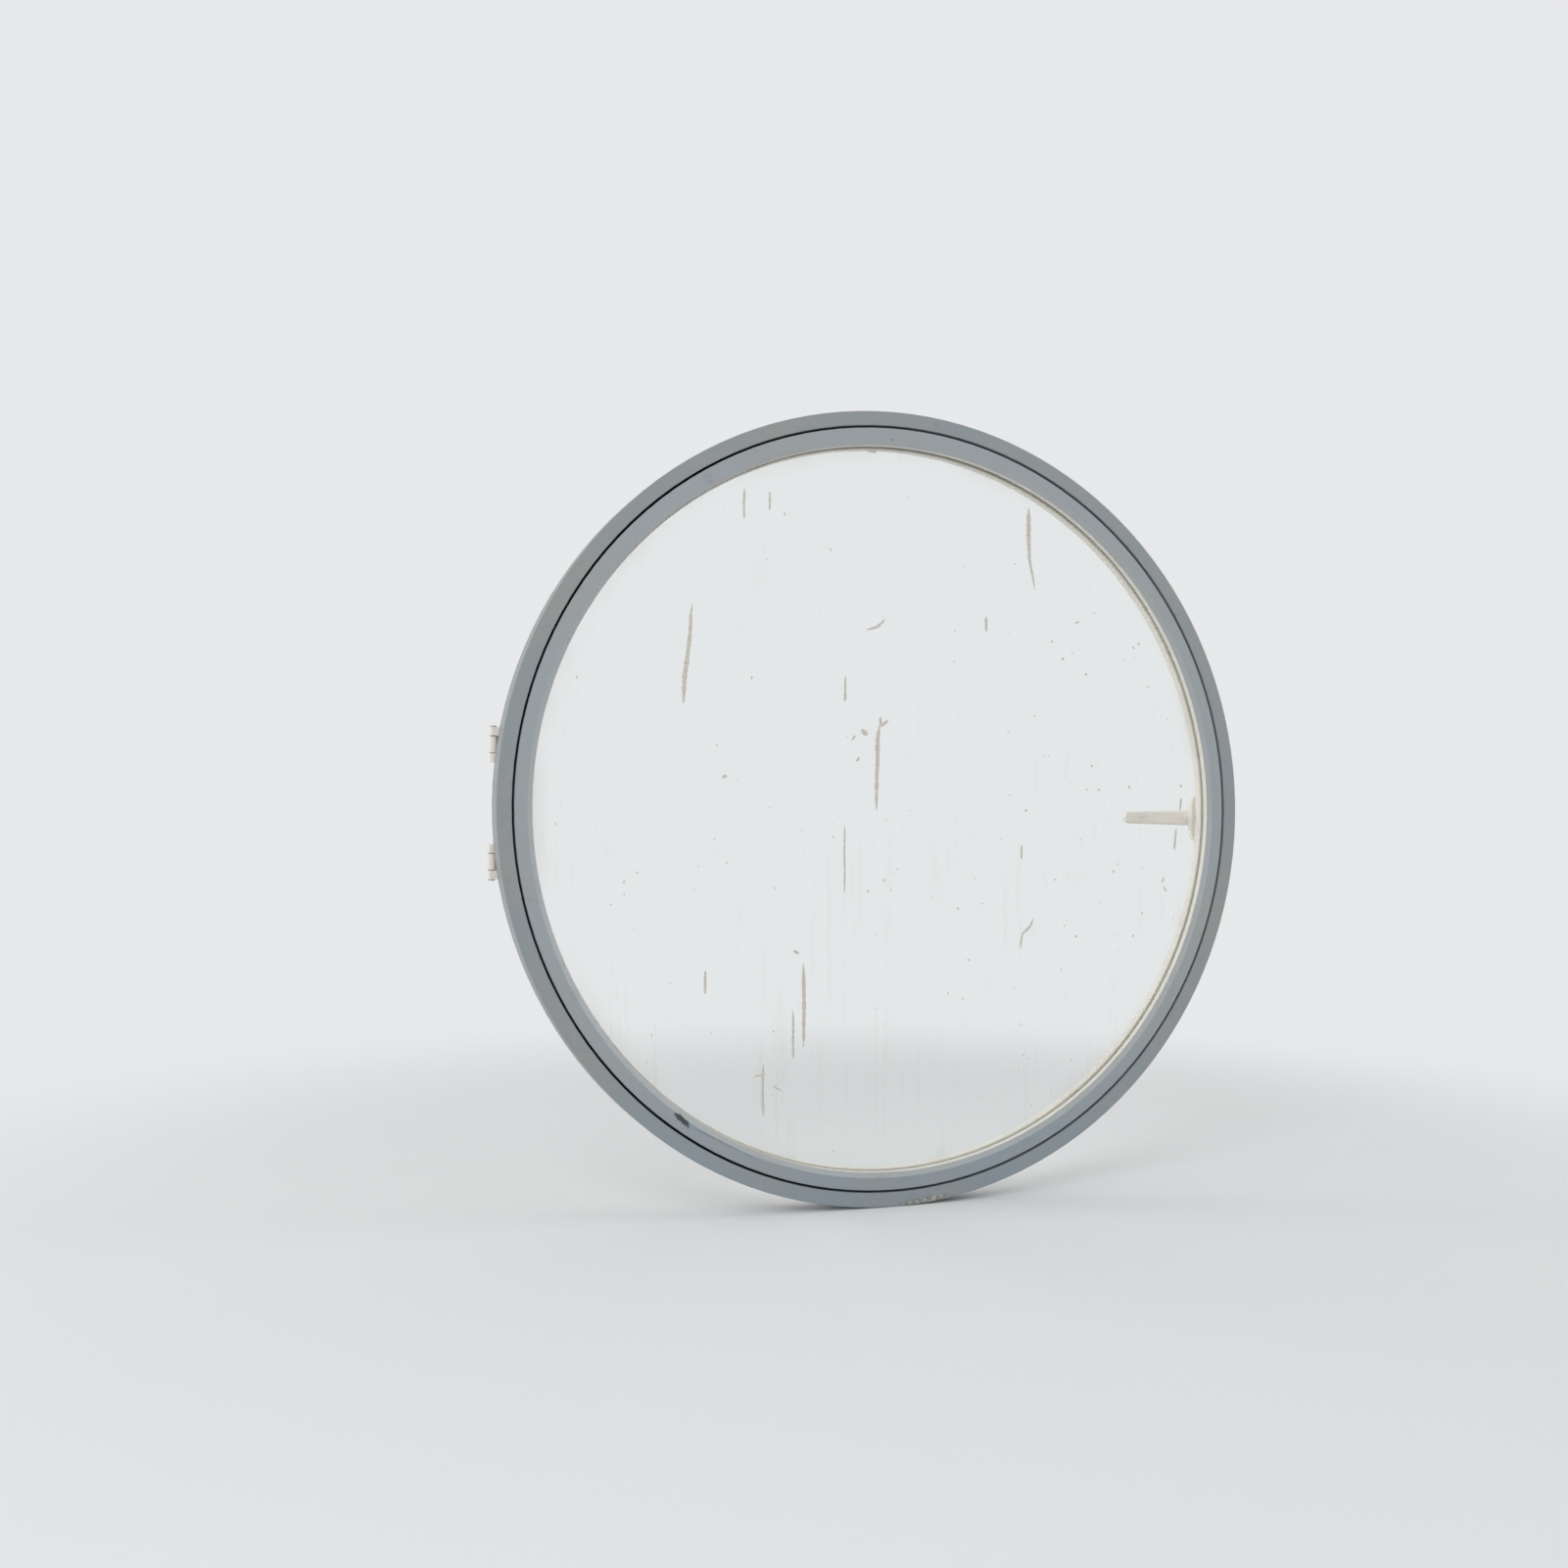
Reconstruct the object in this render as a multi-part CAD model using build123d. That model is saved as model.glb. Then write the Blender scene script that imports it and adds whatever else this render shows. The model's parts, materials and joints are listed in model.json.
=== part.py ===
from build123d import *
import math
import os

# Round casement window, side hung, opening into the room.
# X points right as seen from outdoors, Y into the room and Z up.
# The origin is the centre of the ring at mid depth of the outer frame.
# Angles round the ring are in degrees from 3 o'clock, anticlockwise as seen from outdoors.

# Driving dimensions in millimetres
FRAME_RADIUS = 650.0
FRAME_DEPTH = 50.0
FRAME_FACE = 23.0
FRAME_BODY = 14.0
WALL = 2.0
FACE_GAP = 4.0
EDGE_ROUND = 0.6

SASH_FACE = 28.0
SASH_SETBACK = 1.0
SASH_OVERHANG = 9.0
HARDWARE_GAP = 14.0
BEVEL_WIDTH = 8.0
BEVEL_DEPTH = 5.0
LIP_REVEAL = 10.0
LIP_HEIGHT = 12.0
FLANGE_LAP = 8.0
FLANGE_DEPTH = 5.0
FLANGE_WALL = 2.5
ROOM_CHAMFER = 5.0

GLASS_THICKNESS = 5.0
GLASS_EDGE_GAP = 3.5
GLAZING_SEAL = 1.5
SEAL_SETBACK = 0.8
SEAL_FOOT_WIDTH = 3.0
SEAL_FOOT_DEPTH = 2.0
BEAD_HEIGHT = 15.0
BEAD_REVEAL = 14.0
BEAD_DEPTH = 24.0
BEAD_WALL = 1.6
BEAD_TOE = 2.5
BEAD_STOP = 1.5

STOP_DEPTH = 18.0
STOP_SEAL_HEIGHT = 5.0
STOP_SEAL_CLEARANCE = 1.0
STOP_SEAL_FOOT = 2.0
OVERLAP_SEAL_CLEARANCE = 0.3
OVERLAP_SEAL_LIP = 1.0

GROOVE_OPENING = 15.0
GROOVE_WIDTH = 20.0
GROOVE_DEPTH = 4.0
GROOVE_LIP = 2.0
GROOVE_SHIFT = 12.0
ROD_THICKNESS = 3.2
ROD_CLEARANCE = 0.3
ROD_END_ANGLE = 88.0

LOCK_ANGLES = (85.0, 40.0, -40.0, -85.0)
STUD_RADIUS = 4.0
STUD_COLLAR_RADIUS = 5.0
SLEEVE_RADIUS = 6.0
SLEEVE_HEIGHT = 7.0
SLEEVE_LIFT = 2.0
STUD_HEAD = 1.0
KEEP_BASE = 2.5
KEEP_LENGTH = 34.0
KEEP_WIDTH = 17.0
KEEP_HOOK_LENGTH = 12.0
KEEP_HOOK_WALL = 3.2
KEEP_SASH_CLEARANCE = 1.6
KEEP_SLEEVE_CLEARANCE = 0.4
KEEP_SCREW_SPACING = 24.0
KEEP_SCREW_RADIUS = 1.9
KEEP_SCREW_LENGTH = 12.0

HANDLE_DROP = 13.0
PLATE_LENGTH = 84.0
PLATE_WIDTH = 34.0
PLATE_DEPTH = 12.0
PLATE_WALL = 1.8
PLATE_ROUND = 2.0
PLATE_SCREW_SPACING = 62.0
HANDLE_SCREW_RADIUS = 2.5
HANDLE_SCREW_LENGTH = 18.0
SCREW_CAP_RADIUS = 5.5
SCREW_CAP_DEPTH = 1.2
SCREW_CAP_PROUD = 0.6
LEVER_LENGTH = 132.0
LEVER_ROOT_WIDTH = 27.0
LEVER_TIP_WIDTH = 21.0
LEVER_THICKNESS = 11.0
LEVER_STANDOFF = 34.0
LEVER_ROUND = 3.5
NECK_RADIUS = 10.0
NECK_FILLET = 3.0
LEVER_GAP = 0.4
SHANK_SIDE = 8.0
SHANK_LENGTH = 18.0
JOURNAL_RADIUS = 7.0
RUNNING_CLEARANCE = 0.05
GRUB_RADIUS = 2.0

PINION_MODULE = 1.0
PINION_TEETH = 18
PINION_WIDTH = 6.0
PINION_BACKLASH = 0.12
PRESSURE_ANGLE = 20.0
RACK_ADDENDUM = 0.8
RACK_DEDENDUM = 1.25
RACK_BACK = 1.95
RACK_LENGTH = 24.0
RACK_CLEARANCE = 0.3
HANDLE_TURN = 90.0
PRONG_WIDTH = 8.0
PRONG_THICKNESS = 3.0
PRONG_STANDOFF = 2.2
PRONG_CLEARANCE = 0.2
LINK_ARC = 8.0
EAR_WIDTH = 5.0
EAR_LENGTH = 9.0

HINGE_SPACING = 180.0
HINGE_OFFSET = 2.0
HINGE_LIFT = 8.0
HINGE_LENGTH = 54.0
HINGE_SASH_KNUCKLE = 25.0
HINGE_RADIUS = 6.0
HINGE_PIN_RADIUS = 3.0
HINGE_PIN_HEAD = 2.0
HINGE_LEAF = 3.0
HINGE_CLEARANCE = 0.5
HINGE_SADDLE = 6.0
HINGE_SCREW_SPACING = 40.0
HINGE_SCREW_RADIUS = 2.4
HINGE_SCREW_LENGTH = 12.0
BUSH_WALL = 1.15
BUSH_LENGTH = 10.0
BUSH_FLANGE = 0.8
BUSH_FLANGE_RADIUS = 5.6
BUSH_GAP = 0.2

SETTING_BLOCK_ANGLES = (-110.0, -70.0, 20.0, 160.0)
SETTING_BLOCK_ARC = 6.0
SPLICE_ARC = 5.0
SPLICE_ANGLE = -90.0
FIXING_ANGLES = (20.0, 62.0, 110.0, 150.0, -150.0, -110.0, -62.0, -20.0)
FIXING_HOLE_RADIUS = 3.25
FIXING_ACCESS_RADIUS = 6.0
FIXING_CAP_RIM = 1.0
DRAIN_ANGLES = (-100.0, -80.0)
DRAIN_RADIUS = 2.0

# Radii of the fixed ring and of the sash
LIP_RADIUS = FRAME_RADIUS - FRAME_FACE
BASE_RADIUS = FRAME_RADIUS - FRAME_BODY
SASH_RADIUS = LIP_RADIUS - FACE_GAP
SIGHT_RADIUS = SASH_RADIUS - SASH_FACE
BODY_RADIUS = BASE_RADIUS - HARDWARE_GAP
REBATE_RADIUS = SIGHT_RADIUS + LIP_HEIGHT
FLANGE_RADIUS = BASE_RADIUS + FLANGE_LAP
GLASS_RADIUS = REBATE_RADIUS - GLASS_EDGE_GAP
BEAD_RADIUS = REBATE_RADIUS - BEAD_HEIGHT

# Depths, from outdoors to the room
FRAME_OUT = -FRAME_DEPTH / 2
FRAME_IN = FRAME_DEPTH / 2
STOP_Y = FRAME_OUT + STOP_DEPTH
SASH_OUT = FRAME_OUT + SASH_SETBACK
SASH_IN = FRAME_IN + SASH_OVERHANG
FLANGE_OUT = SASH_IN - FLANGE_DEPTH
SEAT_Y = SASH_OUT + BEVEL_DEPTH + LIP_REVEAL
GLASS_OUT = SEAT_Y + GLAZING_SEAL
GLASS_IN = GLASS_OUT + GLASS_THICKNESS
BEAD_OUT = GLASS_IN + GLAZING_SEAL
BEAD_IN = BEAD_OUT + BEAD_DEPTH
STEP_Y = STOP_Y + STOP_SEAL_HEIGHT + WALL

# Groove of the sash for the drive rods
GROOVE_MOUTH = BODY_RADIUS - GROOVE_LIP
GROOVE_FLOOR = GROOVE_MOUTH - GROOVE_DEPTH
GROOVE_Y = FRAME_IN - GROOVE_SHIFT
ROD_INNER = GROOVE_FLOOR + ROD_CLEARANCE
ROD_OUTER = ROD_INNER + ROD_THICKNESS
ROD_HALF = GROOVE_WIDTH / 2 - ROD_CLEARANCE

# Handle, pinion and the travel that they give the rods
PINION_PITCH = PINION_MODULE * PINION_TEETH / 2
STROKE = PINION_PITCH * math.radians(HANDLE_TURN)
RACK_ROOT = PINION_PITCH + RACK_DEDENDUM * PINION_MODULE
RACK_TIP = PINION_PITCH - RACK_ADDENDUM * PINION_MODULE
RACK_OUTER = RACK_ROOT + RACK_BACK
PRONG_RADIUS = BODY_RADIUS + PRONG_STANDOFF + PRONG_THICKNESS / 2
HANDLE_RADIUS = PRONG_RADIUS + PRONG_THICKNESS / 2 - RACK_OUTER
HANDLE_ANGLE = -math.degrees(math.asin(HANDLE_DROP / HANDLE_RADIUS))
PIVOT_X = HANDLE_RADIUS * math.cos(math.radians(HANDLE_ANGLE))
PIVOT_Z = -HANDLE_DROP
PLATE_IN = SASH_IN + PLATE_DEPTH
LEVER_OUT = SASH_IN + LEVER_STANDOFF
LEVER_IN = LEVER_OUT + LEVER_THICKNESS
ROD_TURN = math.degrees(STROKE / PRONG_RADIUS)
LINK_ANGLE = HANDLE_ANGLE - ROD_TURN / 2

# Hinge line
HINGE_X = -(FRAME_RADIUS - HINGE_OFFSET)
HINGE_Y = FRAME_IN + HINGE_LIFT
HINGE_Z = HINGE_SPACING / 2

FULL_TURN = 360.0
COUNTERSINK_DEPTH = 1.8
COUNTERSINK_WIDENING = 1.9
CROSS_SPAN = 1.0
CROSS_SLOT = 0.22
CROSS_DEPTH = 1.5


def outline(*points):
    return make_face(Polyline(*points, close=True))


def box_between(low, high):
    size = [b - a for a, b in zip(low, high)]
    middle = [(a + b) / 2 for a, b in zip(low, high)]
    return Pos(*middle) * Box(*size)


def ring_rectangle(inner, outer, low_y, high_y):
    return outline((inner, low_y), (outer, low_y), (outer, high_y), (inner, high_y))


def ring(section, arc=FULL_TURN, middle_angle=0.0):
    turned = revolve(section, Axis.Y, arc)
    return Rot(0, -(middle_angle + arc / 2), 0) * turned


def at_angle(shape, angle):
    return Rot(0, -angle, 0) * shape


def cylinder_between(start, end, radius):
    direction = Vector(*end) - Vector(*start)
    plane = Plane(origin=start, z_dir=direction)
    return Solid.make_cylinder(radius, direction.length, plane)


def countersunk_screw(head, tip, radius, cross=False):
    direction = (Vector(*tip) - Vector(*head)).normalized()
    plane = Plane(origin=head, z_dir=direction)
    cone = Solid.make_cone(radius * COUNTERSINK_WIDENING, radius, COUNTERSINK_DEPTH, plane)
    screw = Part() + cone + cylinder_between(head, tip, radius)
    if cross:
        long, short = 2 * CROSS_SPAN * radius, 2 * CROSS_SLOT * radius
        screw -= plane * Box(long, short, 2 * CROSS_DEPTH)
        screw -= plane * Box(short, long, 2 * CROSS_DEPTH)
    return screw


def radial_hole(radius, inner, outer, y, angle):
    return at_angle(cylinder_between((inner, y, 0), (outer, y, 0), radius), angle)


def fillet_where(shape, edges, radius):
    return fillet(edges, radius) if edges else shape


# Fixed frame ring and its seal, splice and caps

def stop_seal_groove():
    middle = (LIP_RADIUS + BASE_RADIUS) / 2
    half = STOP_SEAL_FOOT / 2
    return ring_rectangle(middle - half, middle + half, STOP_Y - SEAL_FOOT_DEPTH, STOP_Y)


def frame_chambers():
    web = STOP_Y - SEAL_FOOT_DEPTH - WALL
    outdoor = ring_rectangle(LIP_RADIUS + WALL, FRAME_RADIUS - WALL, FRAME_OUT + WALL, web)
    room = ring_rectangle(BASE_RADIUS + WALL, FRAME_RADIUS - WALL, web + WALL, FRAME_IN - WALL)
    return outdoor, room


def frame_ring():
    section = outline(
        (LIP_RADIUS + EDGE_ROUND, FRAME_OUT),
        (FRAME_RADIUS - EDGE_ROUND, FRAME_OUT),
        (FRAME_RADIUS, FRAME_OUT + EDGE_ROUND),
        (FRAME_RADIUS, FRAME_IN - EDGE_ROUND),
        (FRAME_RADIUS - EDGE_ROUND, FRAME_IN),
        (BASE_RADIUS, FRAME_IN),
        (BASE_RADIUS, STOP_Y),
        (LIP_RADIUS, STOP_Y),
        (LIP_RADIUS, FRAME_OUT + EDGE_ROUND),
    )
    section -= stop_seal_groove()
    for chamber in frame_chambers():
        section -= chamber
    shell = ring(section)
    screw_y = (STOP_Y + FRAME_IN) / 2
    for angle in FIXING_ANGLES:
        shell -= radial_hole(FIXING_HOLE_RADIUS, BASE_RADIUS, FRAME_RADIUS + WALL, screw_y, angle)
        shell -= radial_hole(FIXING_ACCESS_RADIUS, BASE_RADIUS - WALL, BASE_RADIUS + 2 * WALL,
                             screw_y, angle)
    drain_y = (FRAME_OUT + STOP_Y) / 2
    for angle in DRAIN_ANGLES:
        shell -= radial_hole(DRAIN_RADIUS, LIP_RADIUS - WALL, LIP_RADIUS + 2 * WALL, drain_y, angle)
    for screw in keep_screw_solids() + hinge_frame_screw_solids():
        shell -= screw
    return shell


def frame_stop_seal():
    tip = SASH_RADIUS + STOP_SEAL_CLEARANCE
    top = STOP_Y + STOP_SEAL_HEIGHT
    body = outline(
        (LIP_RADIUS, STOP_Y),
        (BASE_RADIUS, STOP_Y),
        (BASE_RADIUS, STOP_Y + WALL / 2),
        (LIP_RADIUS + WALL, top),
        (tip, top),
        (tip, top - WALL / 2),
    )
    return ring(body + stop_seal_groove())


def frame_splice_blocks():
    return [ring(chamber, SPLICE_ARC, SPLICE_ANGLE) for chamber in frame_chambers()]


def frame_fixing_caps():
    screw_y = (STOP_Y + FRAME_IN) / 2
    caps = []
    for angle in FIXING_ANGLES:
        top = BASE_RADIUS - FIXING_CAP_RIM
        plug = radial_hole(FIXING_ACCESS_RADIUS, top, BASE_RADIUS + WALL, screw_y, angle)
        rim = radial_hole(FIXING_ACCESS_RADIUS + FIXING_CAP_RIM, top, BASE_RADIUS, screw_y, angle)
        seat = ring(ring_rectangle(BASE_RADIUS, FRAME_RADIUS, STOP_Y, FRAME_IN))
        caps.append(Part() + plug + (rim - seat))
    return caps


# Sash ring, its seal and its splice

def sash_chambers():
    bevel_wall = WALL * math.hypot(BEVEL_WIDTH, BEVEL_DEPTH)
    lip_inner = SIGHT_RADIUS + WALL + SEAL_SETBACK
    face_y = SASH_OUT + WALL
    bevel_r = SIGHT_RADIUS + BEVEL_WIDTH
    bevel_y = SASH_OUT + bevel_wall / BEVEL_WIDTH
    slope = BEVEL_DEPTH / BEVEL_WIDTH
    corner_r = bevel_r + (bevel_y - face_y) / slope
    web = SEAT_Y - SEAL_FOOT_DEPTH - WALL
    outdoor = outline(
        (lip_inner, bevel_y + (bevel_r - lip_inner) * slope),
        (corner_r, face_y),
        (SASH_RADIUS - WALL, face_y),
        (SASH_RADIUS - WALL, STEP_Y - WALL),
        (REBATE_RADIUS + WALL, STEP_Y - WALL),
        (REBATE_RADIUS + WALL, web),
        (lip_inner, web),
    )
    low = GROOVE_Y - GROOVE_WIDTH / 2 - WALL
    high = GROOVE_Y + GROOVE_WIDTH / 2 + WALL
    side = BODY_RADIUS - WALL
    inner = REBATE_RADIUS + WALL
    ceiling = SASH_IN - WALL
    room = outline(
        (inner, STEP_Y),
        (side, STEP_Y),
        (side, low),
        (GROOVE_FLOOR - WALL, low),
        (GROOVE_FLOOR - WALL, high),
        (side, high),
        (side, ceiling),
        (REBATE_RADIUS + ROOM_CHAMFER + WALL, ceiling),
        (inner, ceiling - ROOM_CHAMFER),
    )
    return outdoor, room


def glazing_seal_foot():
    middle = (SIGHT_RADIUS + REBATE_RADIUS) / 2
    half = SEAL_FOOT_WIDTH / 2
    return ring_rectangle(middle - half, middle + half, SEAT_Y - SEAL_FOOT_DEPTH, SEAT_Y)


def overlap_seal_foot():
    return ring_rectangle(BASE_RADIUS + FLANGE_WALL / 2, FLANGE_RADIUS - FLANGE_WALL / 2,
                          FLANGE_OUT, SASH_IN - FLANGE_WALL)


def handle_screw_points():
    for side in (-1, 1):
        yield at_angle(Location((HANDLE_RADIUS, 0, side * PLATE_SCREW_SPACING / 2)), HANDLE_ANGLE)


def sash_ring():
    groove_low = GROOVE_Y - GROOVE_OPENING / 2
    groove_high = GROOVE_Y + GROOVE_OPENING / 2
    section = outline(
        (SIGHT_RADIUS, SASH_OUT + BEVEL_DEPTH),
        (SIGHT_RADIUS + BEVEL_WIDTH, SASH_OUT),
        (SASH_RADIUS - EDGE_ROUND, SASH_OUT),
        (SASH_RADIUS, SASH_OUT + EDGE_ROUND),
        (SASH_RADIUS, STEP_Y),
        (BODY_RADIUS, STEP_Y),
        (BODY_RADIUS, SASH_IN - FLANGE_WALL),
        (BASE_RADIUS, SASH_IN - FLANGE_WALL),
        (BASE_RADIUS, FLANGE_OUT),
        (FLANGE_RADIUS, FLANGE_OUT),
        (FLANGE_RADIUS, SASH_IN - EDGE_ROUND),
        (FLANGE_RADIUS - EDGE_ROUND, SASH_IN),
        (REBATE_RADIUS + ROOM_CHAMFER, SASH_IN),
        (REBATE_RADIUS, SASH_IN - ROOM_CHAMFER),
        (REBATE_RADIUS, SEAT_Y),
        (SIGHT_RADIUS, SEAT_Y),
    )
    section += ring_rectangle(REBATE_RADIUS - BEAD_STOP, REBATE_RADIUS + WALL / 2,
                              BEAD_IN, BEAD_IN + BEAD_STOP)
    section -= glazing_seal_foot()
    section -= overlap_seal_foot()
    section -= ring_rectangle(GROOVE_MOUTH, BODY_RADIUS, groove_low, groove_high)
    section -= ring_rectangle(GROOVE_FLOOR, GROOVE_MOUTH, GROOVE_Y - GROOVE_WIDTH / 2,
                              GROOVE_Y + GROOVE_WIDTH / 2)
    for chamber in sash_chambers():
        section -= chamber
    shell = ring(section)
    for angle in DRAIN_ANGLES:
        shell -= radial_hole(DRAIN_RADIUS, REBATE_RADIUS - WALL, REBATE_RADIUS + 2 * WALL,
                             (GLASS_OUT + GLASS_IN) / 2, angle)
        shell -= radial_hole(DRAIN_RADIUS, SASH_RADIUS - 2 * WALL, SASH_RADIUS + WALL,
                             (SASH_OUT + STEP_Y) / 2, angle)
        shell -= radial_hole(DRAIN_RADIUS, REBATE_RADIUS - WALL, REBATE_RADIUS + 2 * WALL,
                             GROOVE_Y, angle)
    shell -= prong_slot()
    for screw in handle_screw_solids() + hinge_sash_screw_solids():
        shell -= screw
    return shell


def sash_overlap_seal():
    lip = ring_rectangle(BASE_RADIUS + OVERLAP_SEAL_LIP, FLANGE_RADIUS - OVERLAP_SEAL_LIP,
                         FRAME_IN + OVERLAP_SEAL_CLEARANCE, FLANGE_OUT)
    seal = ring(lip)
    reach = HINGE_LENGTH / 2 + FLANGE_WALL
    for side in (-1, 1):
        middle = side * HINGE_Z
        seal -= box_between((-FRAME_RADIUS, FRAME_IN, middle - reach), (0, FLANGE_OUT, middle + reach))
    return Part() + seal.solids() + ring(overlap_seal_foot())


def sash_splice_blocks():
    return [ring(chamber, SPLICE_ARC, SPLICE_ANGLE) for chamber in sash_chambers()]


# Glass, its seals, blocks and bead

def glass_pane():
    pane = ring(ring_rectangle(0, GLASS_RADIUS, GLASS_OUT, GLASS_IN))
    return chamfer(pane.edges().filter_by(GeomType.CIRCLE), EDGE_ROUND)


def glazing_seal_outdoor():
    strip = ring_rectangle(SIGHT_RADIUS + SEAL_SETBACK, REBATE_RADIUS - SEAL_SETBACK, SEAT_Y, GLASS_OUT)
    return ring(strip + glazing_seal_foot())


def glazing_seal_indoor():
    return ring(ring_rectangle(BEAD_RADIUS + SEAL_SETBACK, GLASS_RADIUS - SEAL_SETBACK,
                               GLASS_IN, BEAD_OUT))


def glazing_bead():
    knee = BEAD_OUT + BEAD_REVEAL
    slope = (REBATE_RADIUS - BEAD_TOE - BEAD_RADIUS) / (BEAD_IN - knee)
    inner_r = BEAD_RADIUS + BEAD_WALL
    inner_knee = knee - BEAD_WALL / 2
    inner_end = BEAD_IN - BEAD_WALL
    skin = outline(
        (BEAD_RADIUS, BEAD_OUT + EDGE_ROUND),
        (BEAD_RADIUS, knee),
        (REBATE_RADIUS - BEAD_TOE, BEAD_IN),
        (REBATE_RADIUS, BEAD_IN),
        (REBATE_RADIUS, BEAD_OUT),
        (BEAD_RADIUS + EDGE_ROUND, BEAD_OUT),
    )
    hollow = outline(
        (inner_r, BEAD_OUT + BEAD_WALL),
        (inner_r, inner_knee),
        (inner_r + (inner_end - inner_knee) * slope, inner_end),
        (REBATE_RADIUS, inner_end),
        (REBATE_RADIUS, BEAD_OUT + BEAD_WALL),
    )
    return ring(skin - hollow)


def setting_blocks():
    section = ring_rectangle(GLASS_RADIUS, REBATE_RADIUS, GLASS_OUT, GLASS_IN)
    return [ring(section, SETTING_BLOCK_ARC, angle) for angle in SETTING_BLOCK_ANGLES]


# Handle with its pinion and rack. It is drawn at 3 o'clock and turned to its place.

def plate_outline(width, length):
    return Plane.XZ * (Pos(HANDLE_RADIUS, 0) * Rot(0, 0, 90) * SlotOverall(length, width))


def upright(sketch, low_y, high_y):
    return Pos(0, low_y, 0) * extrude(sketch, high_y - low_y, dir=(0, 1, 0))


def handle_baseplate():
    shell = upright(plate_outline(PLATE_WIDTH, PLATE_LENGTH), SASH_IN, PLATE_IN)
    rim = shell.faces().sort_by(Axis.Y)[-1].edges()
    shell = fillet(rim, PLATE_ROUND)
    roof = PLATE_IN - PLATE_WALL
    tip = PINION_PITCH + PINION_MODULE + RACK_CLEARANCE
    shell -= cylinder_between((HANDLE_RADIUS, SASH_IN, 0), (HANDLE_RADIUS, roof, 0), tip)
    bore = JOURNAL_RADIUS + RUNNING_CLEARANCE
    shell -= cylinder_between((HANDLE_RADIUS, SASH_IN, 0), (HANDLE_RADIUS, PLATE_IN, 0), bore)
    reach = (RACK_LENGTH + STROKE) / 2 + RACK_CLEARANCE
    shell -= box_between((HANDLE_RADIUS + RACK_TIP - RACK_CLEARANCE, SASH_IN, -reach),
                         (HANDLE_RADIUS + RACK_OUTER + RACK_CLEARANCE, roof, reach))
    shell = at_angle(shell, HANDLE_ANGLE)
    for point in handle_screw_points():
        cap = cylinder_between((0, PLATE_IN - SCREW_CAP_DEPTH, 0), (0, PLATE_IN, 0), SCREW_CAP_RADIUS)
        shell -= Pos(point.position) * cap
    for screw in handle_screw_solids():
        shell -= screw
    return shell


def handle_screw_solids(cross=False):
    head = PLATE_IN - SCREW_CAP_DEPTH
    screws = []
    for point in handle_screw_points():
        screw = countersunk_screw((0, head, 0), (0, head - HANDLE_SCREW_LENGTH, 0),
                                  HANDLE_SCREW_RADIUS, cross)
        screws.append(Pos(point.position) * screw)
    return screws


def handle_screw_caps():
    low = PLATE_IN - SCREW_CAP_DEPTH
    high = PLATE_IN + SCREW_CAP_PROUD
    caps = []
    for point in handle_screw_points():
        cap = cylinder_between((0, low, 0), (0, high, 0), SCREW_CAP_RADIUS)
        cap = fillet(cap.edges().group_by(Axis.Y)[-1], SCREW_CAP_PROUD * 0.8)
        caps.append(Pos(point.position) * cap)
    return caps


def involute(angle):
    return math.tan(angle) - angle


def pinion_outline():
    pressure = math.radians(PRESSURE_ANGLE)
    base = PINION_PITCH * math.cos(pressure)
    root = PINION_PITCH - RACK_DEDENDUM * PINION_MODULE
    tip = PINION_PITCH + PINION_MODULE
    half_pitch = math.pi / (2 * PINION_TEETH) - PINION_BACKLASH / (2 * PINION_PITCH)
    flank_steps = 5
    radii = [base + (tip - base) * i / flank_steps for i in range(flank_steps + 1)]
    flank = [(root, half_pitch + involute(pressure))]
    for radius in radii:
        flank.append((radius, half_pitch + involute(pressure) - involute(math.acos(base / radius))))
    points = []
    for tooth in range(PINION_TEETH):
        middle = 2 * math.pi * tooth / PINION_TEETH
        rising = [(radius, middle - half) for radius, half in flank]
        falling = [(radius, middle + half) for radius, half in reversed(flank)]
        for radius, angle in rising + falling:
            points.append((HANDLE_RADIUS + radius * math.cos(angle), radius * math.sin(angle)))
    return Plane.XZ * outline(*points)


def handle_spindle():
    low = SASH_IN + RACK_CLEARANCE
    top = low + PINION_WIDTH
    axis = HANDLE_RADIUS
    shaft = upright(pinion_outline(), low, top)
    shaft += cylinder_between((axis, top, 0), (axis, PLATE_IN + LEVER_GAP, 0), JOURNAL_RADIUS)
    half = SHANK_SIDE / 2
    shaft += box_between((axis - half, PLATE_IN + LEVER_GAP, -half),
                         (axis + half, PLATE_IN + LEVER_GAP + SHANK_LENGTH, half))
    return at_angle(shaft, HANDLE_ANGLE)


def lever_blade():
    root = LEVER_ROOT_WIDTH / 2
    tip = LEVER_TIP_WIDTH / 2
    reach = LEVER_LENGTH - tip
    lean = math.asin((root - tip) / reach)
    rise, run = math.cos(lean), math.sin(lean)
    blade = make_face(
        Line((-run * root, rise * root), (-reach - run * tip, rise * tip))
        + ThreePointArc((-reach - run * tip, rise * tip), (-LEVER_LENGTH, 0),
                        (-reach - run * tip, -rise * tip))
        + Line((-reach - run * tip, -rise * tip), (-run * root, -rise * root))
        + ThreePointArc((-run * root, -rise * root), (root, 0), (-run * root, rise * root))
    )
    solid = upright(Plane.XZ * blade, LEVER_OUT, LEVER_IN)
    edges = solid.faces().sort_by(Axis.Y)[0].edges() + solid.faces().sort_by(Axis.Y)[-1].edges()
    return fillet(edges, LEVER_ROUND)


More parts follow.
